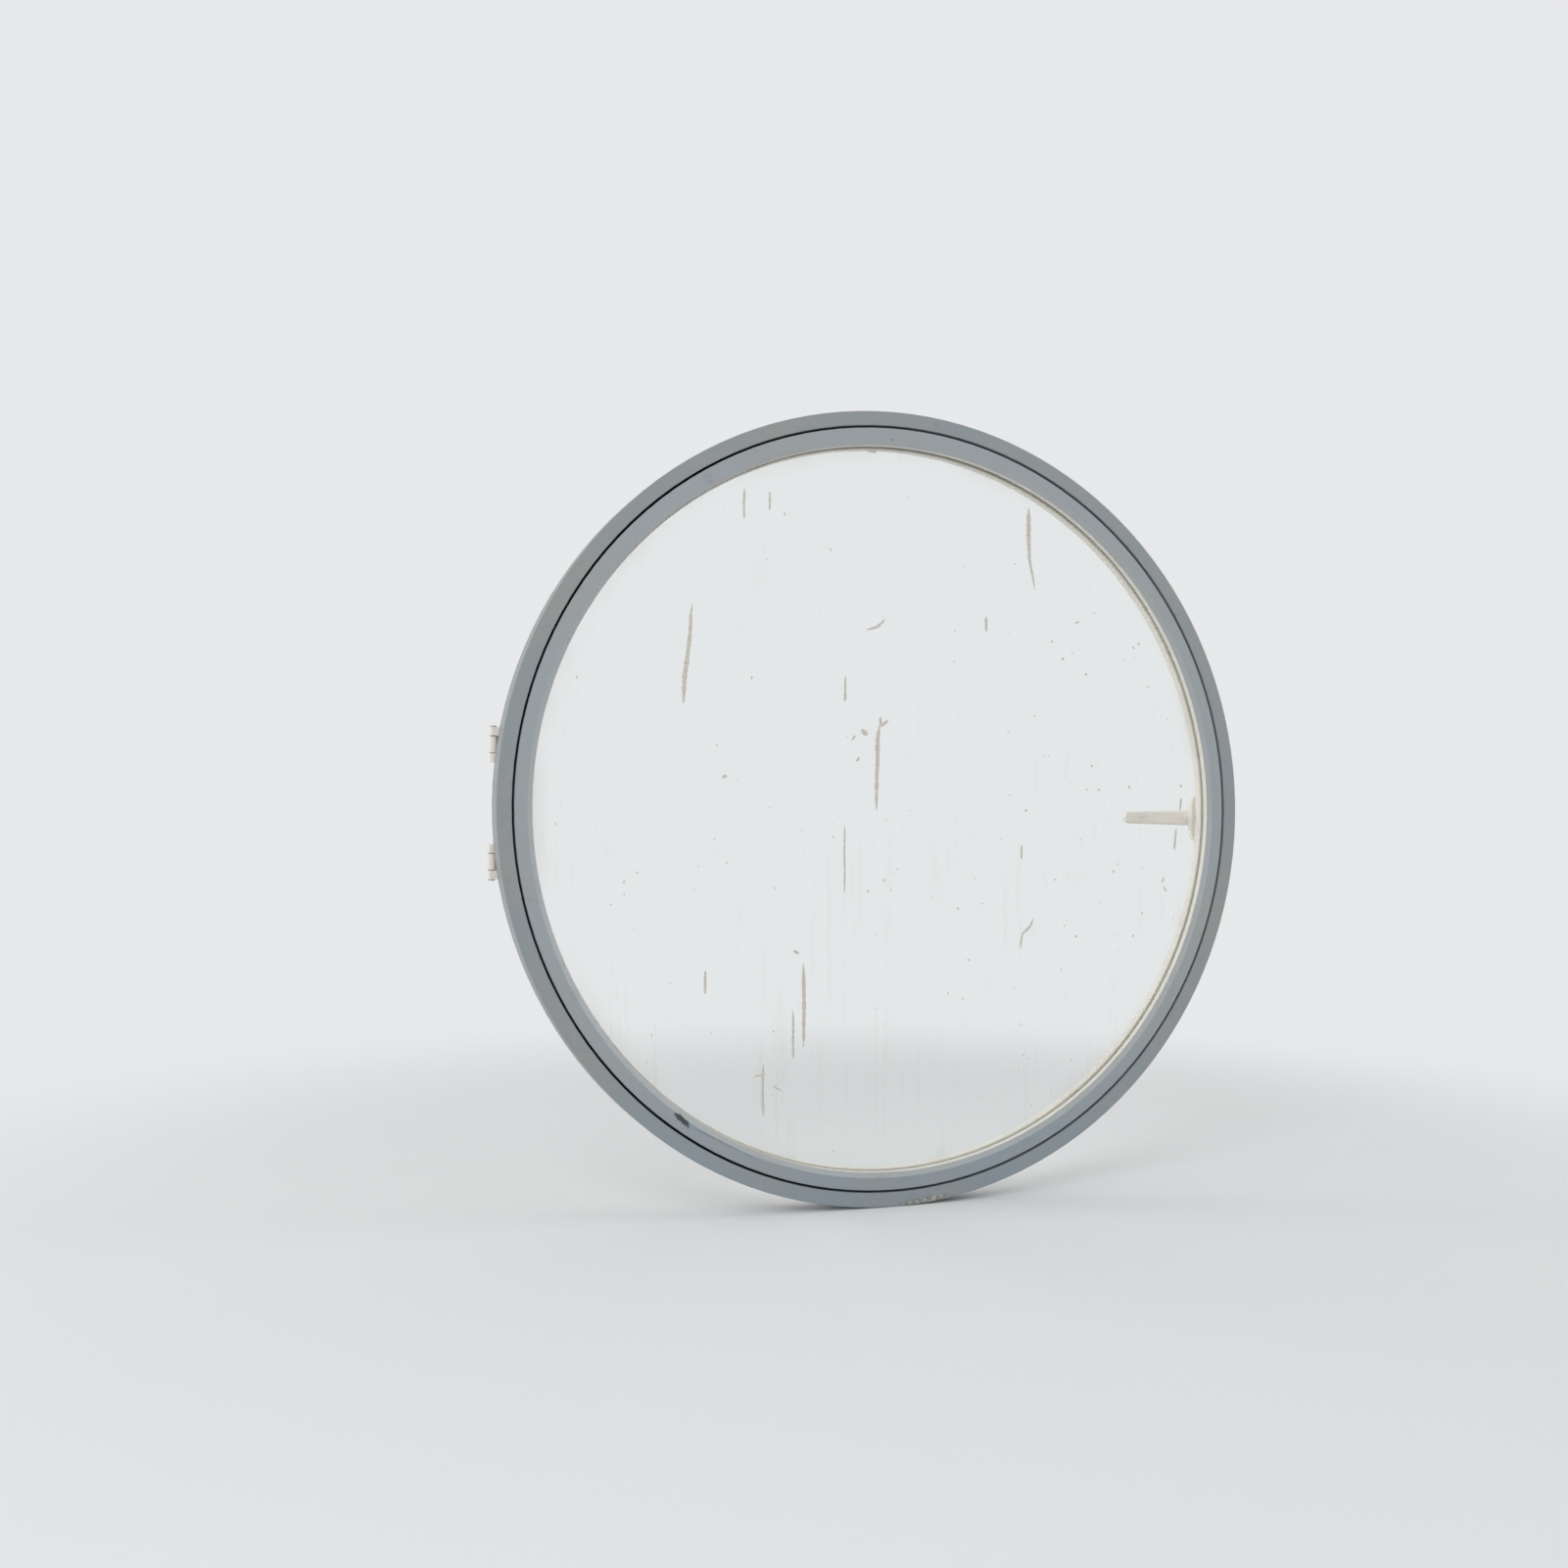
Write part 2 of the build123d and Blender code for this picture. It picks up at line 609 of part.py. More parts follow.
def handle_lever():
    low = PLATE_IN + LEVER_GAP
    lever = lever_blade() + cylinder_between((0, low, 0), (0, LEVER_OUT + LEVER_ROUND, 0), NECK_RADIUS)
    seam = [edge for edge in lever.edges().filter_by(GeomType.CIRCLE)
            if abs(edge.center().Y - LEVER_OUT) < WALL / 2 and abs(edge.radius - NECK_RADIUS) < WALL / 2]
    lever = fillet_where(lever, seam, NECK_FILLET)
    lever = Pos(PIVOT_X, 0, PIVOT_Z) * lever
    return lever - handle_spindle() - handle_grub_screw()


def handle_grub_screw():
    y = PLATE_IN + LEVER_GAP + SHANK_LENGTH / 2
    screw = cylinder_between((-NECK_RADIUS + LEVER_GAP, y, 0), (-SHANK_SIDE / 2, y, 0), GRUB_RADIUS)
    return Pos(PIVOT_X, 0, PIVOT_Z) * (Rot(0, -HANDLE_ANGLE, 0) * screw)


def rack_slider():
    pitch = math.pi * PINION_MODULE
    half_tooth = pitch / 4 - PINION_BACKLASH / 2
    lean = math.tan(math.radians(PRESSURE_ANGLE))
    half_tip = half_tooth - RACK_ADDENDUM * PINION_MODULE * lean
    half_root = half_tooth + RACK_DEDENDUM * PINION_MODULE * lean
    start = -STROKE / 2 - RACK_LENGTH / 2
    end = start + RACK_LENGTH
    low = SASH_IN + RACK_CLEARANCE
    high = low + PINION_WIDTH
    x = HANDLE_RADIUS
    bar = box_between((x + RACK_ROOT, low, start), (x + RACK_OUTER, high, end))
    first = math.ceil((start + half_root) / pitch - 0.5)
    last = math.floor((end - half_root) / pitch - 0.5)
    for index in range(first, last + 1):
        middle = (index + 0.5) * pitch
        tooth = outline(
            (x + RACK_TIP, middle - half_tip),
            (x + RACK_TIP, middle + half_tip),
            (x + RACK_ROOT, middle + half_root),
            (x + RACK_ROOT, middle - half_root),
        )
        bar += upright(Plane.XZ * tooth, low, high)
    back = x + RACK_OUTER
    prong_low = -(STROKE + PRONG_WIDTH) / 2
    prong_high = prong_low + PRONG_WIDTH
    bar += box_between((back - PRONG_THICKNESS, GROOVE_Y - PRONG_CLEARANCE, prong_low),
                       (back, SASH_IN, prong_high))
    bar += box_between((back - RACK_BACK, SASH_IN, prong_low), (back, high, prong_high))
    return at_angle(bar, HANDLE_ANGLE)


def prong_slot():
    reach = (STROKE + PRONG_WIDTH) / 2 + 2 * PRONG_CLEARANCE
    outer = HANDLE_RADIUS + RACK_OUTER
    slot = box_between((outer - PRONG_THICKNESS - PRONG_CLEARANCE, FLANGE_OUT, -reach),
                       (outer + PRONG_CLEARANCE, PLATE_IN, reach))
    return at_angle(slot, HANDLE_ANGLE)


# Drive link and rods in the groove of the sash, with their studs and sleeves

def rod_section():
    return ring_rectangle(ROD_INNER, ROD_OUTER, GROOVE_Y - ROD_HALF, GROOVE_Y + ROD_HALF)


def drive_link():
    base = ring(rod_section(), LINK_ARC, LINK_ANGLE)
    inner = ROD_OUTER - ROD_CLEARANCE
    outer = PRONG_RADIUS + PRONG_THICKNESS / 2 + PRONG_CLEARANCE
    near = PRONG_WIDTH / 2 + PRONG_CLEARANCE
    for side in (-1, 1):
        low, high = sorted((side * near, side * (near + EAR_WIDTH)))
        ear = box_between((inner, GROOVE_Y - EAR_LENGTH / 2, low),
                          (outer, GROOVE_Y + EAR_LENGTH / 2, high))
        base += at_angle(ear, LINK_ANGLE)
    return base


def drive_rod(start, end):
    rod = ring(rod_section(), end - start, (start + end) / 2)
    for stud in lock_studs():
        rod -= stud
    return rod


def lock_studs():
    studs = []
    for angle in LOCK_ANGLES:
        low = ROD_OUTER + SLEEVE_LIFT
        high = low + SLEEVE_HEIGHT
        stud = Part() + cylinder_between((ROD_INNER, GROOVE_Y, 0), (high, GROOVE_Y, 0), STUD_RADIUS)
        stud += cylinder_between((ROD_OUTER, GROOVE_Y, 0), (low, GROOVE_Y, 0), STUD_COLLAR_RADIUS)
        stud += cylinder_between((high, GROOVE_Y, 0), (high + STUD_HEAD, GROOVE_Y, 0),
                                 STUD_COLLAR_RADIUS)
        studs.append(at_angle(stud, angle))
    return studs


def lock_sleeves():
    sleeves = []
    for angle in LOCK_ANGLES:
        low = (ROD_OUTER + SLEEVE_LIFT, GROOVE_Y, 0)
        high = (ROD_OUTER + SLEEVE_LIFT + SLEEVE_HEIGHT, GROOVE_Y, 0)
        sleeve = cylinder_between(low, high, SLEEVE_RADIUS) - cylinder_between(low, high, STUD_RADIUS)
        sleeves.append(at_angle(sleeve, angle))
    return sleeves


# Keeps on the frame, each standing where its sleeve is when the window is locked

def arc_of(length, radius):
    return math.degrees(length / radius)


def lock_keeps():
    hook_low = GROOVE_Y + SLEEVE_RADIUS + KEEP_SLEEVE_CLEARANCE
    hook_high = hook_low + KEEP_HOOK_WALL
    hook_inner = SASH_RADIUS + KEEP_SASH_CLEARANCE
    base_inner = BASE_RADIUS - KEEP_BASE
    base = ring_rectangle(base_inner, BASE_RADIUS, hook_high - KEEP_WIDTH, hook_high)
    hook = ring_rectangle(hook_inner, BASE_RADIUS, hook_low, hook_high)
    keeps = []
    for angle in LOCK_ANGLES:
        locked = angle + ROD_TURN
        keep = ring(base, arc_of(KEEP_LENGTH, BASE_RADIUS), locked)
        keep += ring(hook, arc_of(KEEP_HOOK_LENGTH, BASE_RADIUS), locked)
        for screw in keep_screw_solids():
            keep -= screw
        keeps.append(keep)
    return keeps


def keep_screw_solids(cross=False):
    y = GROOVE_Y + SLEEVE_RADIUS + KEEP_SLEEVE_CLEARANCE + KEEP_HOOK_WALL - KEEP_WIDTH / 2
    half = arc_of(KEEP_SCREW_SPACING / 2, BASE_RADIUS)
    head = BASE_RADIUS - KEEP_BASE
    screws = []
    for angle in LOCK_ANGLES:
        for side in (-1, 1):
            screw = countersunk_screw((head, y, 0), (head + KEEP_SCREW_LENGTH, y, 0),
                                      KEEP_SCREW_RADIUS, cross)
            screws.append(at_angle(screw, angle + ROD_TURN + side * half))
    return screws


# Hinges. The upper one is drawn and the lower one is its mirror image.

def hinge_cylinder(radius, low, high):
    z = HINGE_Z
    return cylinder_between((HINGE_X, HINGE_Y, z + low), (HINGE_X, HINGE_Y, z + high), radius)


def hinge_screw_points(radius):
    for side in (-1, 1):
        z = HINGE_Z + side * HINGE_SCREW_SPACING / 2
        yield -math.sqrt(radius ** 2 - z ** 2), z


def upper_hinge_screws(head, radius, cross):
    return [countersunk_screw((x, head, z), (x, head - HINGE_SCREW_LENGTH, z), HINGE_SCREW_RADIUS, cross)
            for x, z in hinge_screw_points(radius)]


def upper_frame_screws(cross=False):
    return upper_hinge_screws(FRAME_IN + HINGE_LEAF, (BASE_RADIUS + FRAME_RADIUS) / 2, cross)


def upper_sash_screws(cross=False):
    radius = (REBATE_RADIUS + ROOM_CHAMFER + BODY_RADIUS) / 2
    return upper_hinge_screws(SASH_IN + HINGE_LEAF, radius, cross)


def both(solids):
    return solids + [mirror(solid, Plane.XY) for solid in solids]


def hinge_frame_screw_solids(cross=False):
    return both(upper_frame_screws(cross))


def hinge_sash_screw_solids(cross=False):
    return both(upper_sash_screws(cross))


def hinge_frame_leaf():
    half = HINGE_LENGTH / 2
    z = HINGE_Z
    knuckle = HINGE_SASH_KNUCKLE / 2 + BUSH_FLANGE + BUSH_GAP
    leaf = box_between((HINGE_X - HINGE_SADDLE / 2, FRAME_IN, z - half),
                       (0, FRAME_IN + HINGE_LEAF, z + half))
    leaf -= ring(ring_rectangle(0, BASE_RADIUS + OVERLAP_SEAL_LIP, FRAME_IN - WALL, SASH_IN))
    leaf += box_between((HINGE_X - HINGE_SADDLE / 2, FRAME_IN, z - half),
                        (HINGE_X + HINGE_SADDLE / 2, HINGE_Y, z + half))
    leaf += hinge_cylinder(HINGE_RADIUS, -half, half)
    reach = HINGE_RADIUS + HINGE_CLEARANCE
    leaf -= box_between((HINGE_X - reach, FRAME_IN, z - knuckle), (HINGE_X + reach, SASH_IN + reach,
                                                                  z + knuckle))
    leaf -= hinge_cylinder(HINGE_PIN_RADIUS, -half, half)
    for screw in upper_frame_screws():
        leaf -= screw
    return leaf


def hinge_sash_leaf():
    half = HINGE_LENGTH / 2
    knuckle = HINGE_SASH_KNUCKLE / 2
    z = HINGE_Z
    edge = HINGE_X + HINGE_RADIUS + HINGE_CLEARANCE
    high = SASH_IN + HINGE_LEAF
    leaf = box_between((edge, SASH_IN, z - half), (0, high, z + half))
    leaf -= ring(ring_rectangle(0, REBATE_RADIUS + ROOM_CHAMFER, SASH_IN - WALL, high + WALL))
    leaf += box_between((HINGE_X, SASH_IN, z - knuckle), (edge, high, z + knuckle))
    leaf += hinge_cylinder(HINGE_RADIUS, -knuckle, knuckle)
    leaf -= hinge_cylinder(HINGE_PIN_RADIUS + RUNNING_CLEARANCE + BUSH_WALL, -knuckle, knuckle)
    for screw in upper_sash_screws():
        leaf -= screw
    return leaf


def hinge_pin():
    half = HINGE_LENGTH / 2
    pin = hinge_cylinder(HINGE_PIN_RADIUS, -half, half)
    head = hinge_cylinder(HINGE_RADIUS - WALL / 2, half, half + HINGE_PIN_HEAD)
    return Part() + pin + head


def hinge_bushes():
    knuckle = HINGE_SASH_KNUCKLE / 2
    bore = HINGE_PIN_RADIUS + RUNNING_CLEARANCE
    bushes = []
    for side in (-1, 1):
        low, high = sorted((side * knuckle, side * (knuckle + BUSH_FLANGE)))
        bush = Part() + hinge_cylinder(BUSH_FLANGE_RADIUS, low, high)
        low, high = sorted((side * (knuckle - BUSH_LENGTH), side * knuckle))
        bush += hinge_cylinder(bore + BUSH_WALL, low, high)
        bush -= hinge_cylinder(bore, -HINGE_LENGTH / 2, HINGE_LENGTH / 2)
        bushes.append(bush)
    return bushes


def lower(shape):
    return mirror(shape, Plane.XY)


NODES = {
    "frame_ring": frame_ring,
    "frame_stop_seal": frame_stop_seal,
    "frame_splice_blocks": frame_splice_blocks,
    "frame_fixing_caps": frame_fixing_caps,
    "sash_ring": sash_ring,
    "sash_overlap_seal": sash_overlap_seal,
    "sash_splice_blocks": sash_splice_blocks,
    "glass_pane": glass_pane,
    "glazing_bead": glazing_bead,
    "glazing_seal_outdoor": glazing_seal_outdoor,
    "glazing_seal_indoor": glazing_seal_indoor,
    "setting_blocks": setting_blocks,
    "handle_baseplate": handle_baseplate,
    "handle_lever": handle_lever,
    "handle_spindle": handle_spindle,
    "handle_grub_screw": handle_grub_screw,
    "handle_screws": lambda: handle_screw_solids(cross=True),
    "handle_screw_caps": handle_screw_caps,
    "rack_slider": rack_slider,
    "drive_link": drive_link,
    "drive_rod_upper": lambda: drive_rod(LINK_ANGLE + LINK_ARC / 2, ROD_END_ANGLE),
    "drive_rod_lower": lambda: drive_rod(-ROD_END_ANGLE, LINK_ANGLE - LINK_ARC / 2),
    "lock_studs": lock_studs,
    "lock_sleeves": lock_sleeves,
    "lock_keeps": lock_keeps,
    "keep_screws": lambda: keep_screw_solids(cross=True),
    "hinge_frame_leaf_upper": hinge_frame_leaf,
    "hinge_frame_leaf_lower": lambda: lower(hinge_frame_leaf()),
    "hinge_sash_leaf_upper": hinge_sash_leaf,
    "hinge_sash_leaf_lower": lambda: lower(hinge_sash_leaf()),
    "hinge_pin_upper": hinge_pin,
    "hinge_pin_lower": lambda: lower(hinge_pin()),
    "hinge_bushes": lambda: both(hinge_bushes()),
    "hinge_frame_screws": lambda: hinge_frame_screw_solids(cross=True),
    "hinge_sash_screws": lambda: hinge_sash_screw_solids(cross=True),
}


def solids_of(shape):
    shapes = shape if isinstance(shape, list) else [shape]
    return [solid for part in shapes for solid in part.solids()]


os.makedirs("parts", exist_ok=True)
for name, make in NODES.items():
    solids = solids_of(make())
    print(name, len(solids), round(sum(solid.volume for solid in solids), 1))
    export_step(solids[0] if len(solids) == 1 else Compound(children=solids), f"parts/{name}.step")

print("handle pivot", round(PIVOT_X, 3), round(PIVOT_Z, 3), "angle", round(HANDLE_ANGLE, 4))
print("rack travel", round(STROKE, 4), "rod turn", round(ROD_TURN, 5), "prong radius", PRONG_RADIUS)
print("hinge line", HINGE_X, HINGE_Y)
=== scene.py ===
import json
import math
import random

import bmesh
import bpy
from mathutils import Matrix, Vector, noise

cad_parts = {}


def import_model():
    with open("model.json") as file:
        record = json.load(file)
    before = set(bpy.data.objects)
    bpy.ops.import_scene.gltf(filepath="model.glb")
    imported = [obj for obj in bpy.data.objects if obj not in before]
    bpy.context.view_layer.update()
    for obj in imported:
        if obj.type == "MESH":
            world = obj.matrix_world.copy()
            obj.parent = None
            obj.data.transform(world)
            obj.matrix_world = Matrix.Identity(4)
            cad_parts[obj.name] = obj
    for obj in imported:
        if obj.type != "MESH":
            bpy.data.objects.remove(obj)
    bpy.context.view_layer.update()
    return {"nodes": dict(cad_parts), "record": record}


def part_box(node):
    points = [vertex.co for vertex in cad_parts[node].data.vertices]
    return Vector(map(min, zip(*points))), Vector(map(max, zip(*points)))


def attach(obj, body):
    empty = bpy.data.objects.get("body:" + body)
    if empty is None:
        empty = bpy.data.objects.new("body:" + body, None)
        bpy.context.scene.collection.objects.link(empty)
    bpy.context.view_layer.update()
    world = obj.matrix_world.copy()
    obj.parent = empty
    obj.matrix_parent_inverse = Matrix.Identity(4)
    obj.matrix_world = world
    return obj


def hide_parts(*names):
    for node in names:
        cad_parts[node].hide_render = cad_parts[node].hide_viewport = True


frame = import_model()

# Camera, placed and aimed as the photograph was taken, in metres
LENS_MM = 35.25
SENSOR_MM = 36.0
CAMERA_PLACE = Vector((-0.97615, -2.34882, -0.02062))
CAMERA_FORWARD = Vector((0.318785, 0.947555, 0.022695))
CAMERA_UP = Vector((-0.015049, -0.018881, 0.999708))
CLIP_NEAR = 0.05
CLIP_FAR = 100.0

# Stage and light. The floor fades into the backdrop between FLOOR_NEAR and FLOOR_FAR metres.
BACKDROP = (0.80, 0.81, 0.82, 1.0)
FLOOR_SIZE = 24.0
FLOOR_NEAR = 1.1
FLOOR_FAR = 2.4
FLOOR_DROP = 0.0005
AMBIENT = 0.62
# Lamps: name, place, size, watts, and whether gloss mirrors it. The pane would show the back lamp
# as a white disc.
LAMPS = (
    ("key", (-2.6, -3.2, 2.6), 2.4, 62.0, True),
    ("fill", (3.9, -1.3, 1.6), 2.2, 30.0, True),
    ("back", (-4.8, 3.5, 0.7), 2.4, 108.0, False),
)

# Sizes of the profiles, as in the part's source, in metres
STOP_SEAL_HEIGHT = 0.005
FLANGE_TO_SIGHT = 0.049
BEVEL_WIDTH = 0.008
BEVEL_DEPTH = 0.005
LIP_HEIGHT = 0.012

# Levels of the window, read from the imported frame, in metres
RING_LOW, RING_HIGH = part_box("frame_ring")
SASH_LOW, SASH_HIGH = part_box("sash_ring")
GLASS_LOW, GLASS_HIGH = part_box("glass_pane")
_, SEAL_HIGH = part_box("frame_stop_seal")
GLASS_OUT = GLASS_LOW.y
GLASS_IN = GLASS_HIGH.y
GLASS_RADIUS = GLASS_HIGH.x
STOP_Y = SEAL_HIGH.y - STOP_SEAL_HEIGHT
BASE_RADIUS = SEAL_HIGH.x
SASH_FACE_Y = SASH_LOW.y
SIGHT_RADIUS = SASH_HIGH.x - FLANGE_TO_SIGHT
BEVEL_RADIUS = SIGHT_RADIUS + BEVEL_WIDTH
REBATE_RADIUS = SIGHT_RADIUS + LIP_HEIGHT
BEVEL_Y = SASH_FACE_Y + BEVEL_DEPTH

# Borders between the colours of a coat, in metres
SOFT_EDGE = 0.0004
REBATE_WHITE_ENDS = 0.003
REBATE_WHITE_FULL = 0.002
ROOM_WHITE_STARTS = 0.0010
ROOM_WHITE_FULL = 0.0006

# Sockets of a Mix node that mixes colours, by number, because others there have the same names
MIX_FACTOR, MIX_FIRST, MIX_SECOND, MIX_RESULT = 0, 6, 7, 2

# How a mark on a coat frays: the share of the noise, and where the mark ends and is full
MARK_FRAY = 1.6
MARK_ENDS = 1.75
MARK_FULL = 1.35


def camera():
    data = bpy.data.cameras.new("camera")
    data.lens = LENS_MM
    data.sensor_width = SENSOR_MM
    data.clip_start = CLIP_NEAR
    data.clip_end = CLIP_FAR
    shot = bpy.data.objects.new("camera", data)
    bpy.context.scene.collection.objects.link(shot)
    forward = CAMERA_FORWARD.normalized()
    right = forward.cross(CAMERA_UP).normalized()
    up = right.cross(forward)
    turn = Matrix((right, up, -forward)).transposed().to_4x4()
    shot.matrix_world = Matrix.Translation(CAMERA_PLACE) @ turn
    bpy.context.scene.camera = shot


class Nodes:
    """The nodes of one material or world."""

    def __init__(self, owner):
        owner.use_nodes = True
        self.tree = owner.node_tree
        self.tree.nodes.clear()

    def put(self, value, socket):
        if isinstance(value, bpy.types.NodeSocket):
            self.tree.links.new(value, socket)
        else:
            socket.default_value = value

    def add(self, kind, inputs=None, **settings):
        made = self.tree.nodes.new("ShaderNode" + kind)
        for name, value in settings.items():
            setattr(made, name, value)
        for name, value in (inputs or {}).items():
            self.put(value, made.inputs[name])
        return made

    def place(self):
        return self.add("TexCoord").outputs["Object"]

    def noise(self, scale, detail, roughness=0.5, vector=None):
        found = self.add("TexNoise", {"Vector": vector or self.place(), "Scale": scale,
                                      "Detail": detail, "Roughness": roughness})
        return found.outputs["Fac"]

    def streaks(self, scales, detail, roughness=0.5):
        """Noise with a scale of its own along each axis."""
        stretched = self.add("Mapping", {"Vector": self.place(), "Scale": scales}).outputs[0]
        return self.noise(1.0, detail, roughness, stretched)

    def between(self, value, low, high, to_low=0.0, to_high=1.0):
        found = self.add("MapRange", {"Value": value, "From Min": low, "From Max": high,
                                      "To Min": to_low, "To Max": to_high},
                         interpolation_type="SMOOTHSTEP")
        return found.outputs[0]

    def maths(self, operation, first, second=0.0):
        return self.add("Math", {0: first, 1: second}, operation=operation).outputs[0]

    def times(self, first, second):
        return self.maths("MULTIPLY", first, second)

    def plus(self, first, second):
        return self.maths("ADD", first, second)

    def greater(self, first, second):
        return self.maths("MAXIMUM", first, second)

    def length(self, vector):
        return self.add("VectorMath", {0: vector}, operation="LENGTH").outputs["Value"]

    def mix(self, factor, first, second):
        made = self.add("Mix", data_type="RGBA")
        self.put(factor, made.inputs[MIX_FACTOR])
        self.put(first, made.inputs[MIX_FIRST])
        self.put(second, made.inputs[MIX_SECOND])
        return made.outputs[MIX_RESULT]

    def bump(self, height, strength, distance):
        return self.add("Bump", {"Height": height, "Strength": strength,
                                 "Distance": distance}).outputs[0]

    def shader(self, kind, inputs):
        return self.add(kind, inputs).outputs[0]

    def principled(self, tint, roughness, **others):
        named = {name.replace("_", " "): value for name, value in others.items()}
        return self.shader("BsdfPrincipled", {"Base Color": tint, "Roughness": roughness, **named})

    def mix_shaders(self, share, first, second):
        return self.shader("MixShader", {0: share, 1: first, 2: second})

    def polar(self):
        """Distance from the ring's axis, depth and height of the shaded point."""
        split = self.add("SeparateXYZ", {"Vector": self.place()}).outputs
        across = self.maths("POWER", split["X"], 2.0)
        up = self.maths("POWER", split["Z"], 2.0)
        return self.maths("SQRT", self.plus(across, up)), split["Y"], split["Z"]

    def mark(self, spot, ragged):
        """1 inside a ragged elongated mark on an outdoor face, 0 round it."""
        x, z, half_length, half_width, turn = spot
        settings = {"Vector": self.place(), "Location": (x, 0.0, z), "Rotation": (0.0, turn, 0.0),
                    "Scale": (half_length, 1.0, half_width)}
        inside = self.add("Mapping", settings, vector_type="TEXTURE").outputs[0]
        frayed = self.plus(self.length(inside), self.times(ragged, MARK_FRAY))
        return self.between(frayed, MARK_ENDS, MARK_FULL)

    def shows_backdrop(self):
        """1 for a ray from the camera, through the glass or off a gloss."""
        rays = self.add("LightPath").outputs
        direct = self.greater(rays["Is Camera Ray"], rays["Is Transmission Ray"])
        return self.greater(direct, rays["Is Glossy Ray"])

    def finish(self, shader, kind="OutputMaterial"):
        self.add(kind, {"Surface": shader})


def colour(red, green, blue):
    """A colour written as it should render, from 0 to 255, as linear values."""
    def linear(value):
        share = value / 255
        return share / 12.92 if share <= 0.04045 else ((share + 0.055) / 1.055) ** 2.4
    return linear(red), linear(green), linear(blue), 1.0


def grey(share):
    return share, share, share, 1.0


def darker(base, share):
    return tuple(share * part for part in base[:3]) + (1.0,)


# The frame ring's grey is darker than the sash's grey as painted shade; both rings are one paint
RING_SHADED_GREY = colour(141, 148, 151)
SASH_GREY = colour(153, 161, 165)
# The bevel's paler grey is a painted highlight, where the sloping bevel catches more light
BEVEL_HIGHLIGHT_GREY = colour(167, 173, 176)
# A bluer grey, painted low down as skylight on the faces
SKY_LIT_GREY = colour(136, 150, 160)
WARM_WHITE = colour(234, 228, 218)
HANDLE_WHITE = colour(237, 230, 221)
DUST = colour(160, 153, 140)
GRIME = colour(84, 84, 80)
SMUDGE = colour(62, 65, 70)
MORTAR = colour(184, 182, 168)
MORTAR_STAIN = colour(100, 106, 104)
SEAL_BLACK = colour(34, 37, 40)
# The glazing seal is written pale partly as painted light, to offset the shade in the narrow gap
# beside the glass
SEAL_WHITE = colour(220, 215, 206)
BLOCK_GREY = colour(70, 72, 74)
MILL_GREY = colour(200, 202, 205)
ZINC_GREY = colour(186, 186, 184)
CAP_GREY = colour(190, 192, 194)
BUSH_BLACK = colour(44, 44, 46)
GLASS_TINT = (0.972, 0.987, 0.979, 1.0)
GLASS_SHADOW = (0.93, 0.965, 0.95, 1.0)
GLASS_DUST = colour(205, 200, 188)
SPLASH_LIGHT = colour(214, 209, 199)
SPLASH_DARK = colour(186, 179, 167)

# Marks on the outdoor faces: centre (x, z), half length and half width in metres, turn in radians
SMEAR = (-0.357, -0.490, 0.020, 0.0062, math.radians(45))
SMEAR_TAIL = (-0.295, -0.527, 0.075, 0.0022, math.radians(28))
CRUMBS = (0.058, -0.6450, 0.062, 0.0105, math.radians(-5))

# Below, a noise is its scale per metre, its detail and its roughness. A range is where something
# starts and where it is full. A bump is its strength and its distance in metres.

# Powder coat
DUST_CLOUDS = (7.0, 5.0, 0.62)
CLOUD_RANGE = (0.40, 0.70)
DUST_GRAINS = (90.0, 4.0, 0.7)
GRAIN_RANGE = (0.30, 0.75)
DUST_ROUGHNESS = 0.22
RUBS = ((26.0, 26.0, 60.0), 4.0, 0.7)
RUB_RANGE = (0.60, 0.78)
RUB_SHARE = 0.24
ORANGE_PEEL = (900.0, 2.0)
PEEL_HEIGHT = 0.05
WAVES = (14.0, 2.0)
WAVE_HEIGHT = 1.4
COAT_BUMP = (0.35, 0.0004)
# Painted skylight, bluer low down: the heights where it starts and is full, and its share
SKY_LIT_RANGE = (-0.30, -0.62)
SKY_LIT_SHARE = 0.55

# Each coat: roughness, and how dusty its grey and its white are
SASH_ROUGHNESS, SASH_GREY_DUST, SASH_WHITE_DUST = 0.38, 0.45, 0.20
FRAME_ROUGHNESS, FRAME_GREY_DUST, FRAME_WHITE_DUST = 0.42, 0.60, 0.25
WHITE_COAT_DUST = 0.20
SMEAR_GRAINS = (150.0, 4.0, 0.7)
TAIL_SHARE = 0.25
SPECKS = (110.0, 1.0)
SPECK_RANGE = (0.80, 0.82)
CRUMB_GRAINS = (190.0, 4.0, 0.75)
CRUMB_RANGE = (0.50, 0.54)
CRUMB_RELIEF = 1.5
STAIN_SHARE = 0.55

# Rubber, metal and plastic
RUBBER_DUST = (60.0, 5.0, 0.7)
RUBBER_DUST_RANGE = (0.45, 0.80)
RUBBER_DUST_SHARE = 0.3
RUBBER_ROUGHNESS = 0.62
RUBBER_GRAIN = (700.0, 2.0)
RUBBER_BUMP = (0.12, 0.0003)
METAL_DETAIL = 3.0
METAL_STREAK_RANGE = (0.30, 0.70)
METAL_DARK_SHARE = 0.82
METAL_ROUGH_RANGE = (0.20, 0.80)
METAL_SMOOTHER = 0.06
METAL_ROUGHER = 0.10
METAL_BUMP = (0.15, 0.0002)
PLASTIC_GRAIN = (240.0, 3.0)
PLASTIC_RANGE = (0.35, 0.75)
PLASTIC_DARK_SHARE = 0.9
PLASTIC_BUMP = (0.12, 0.0002)

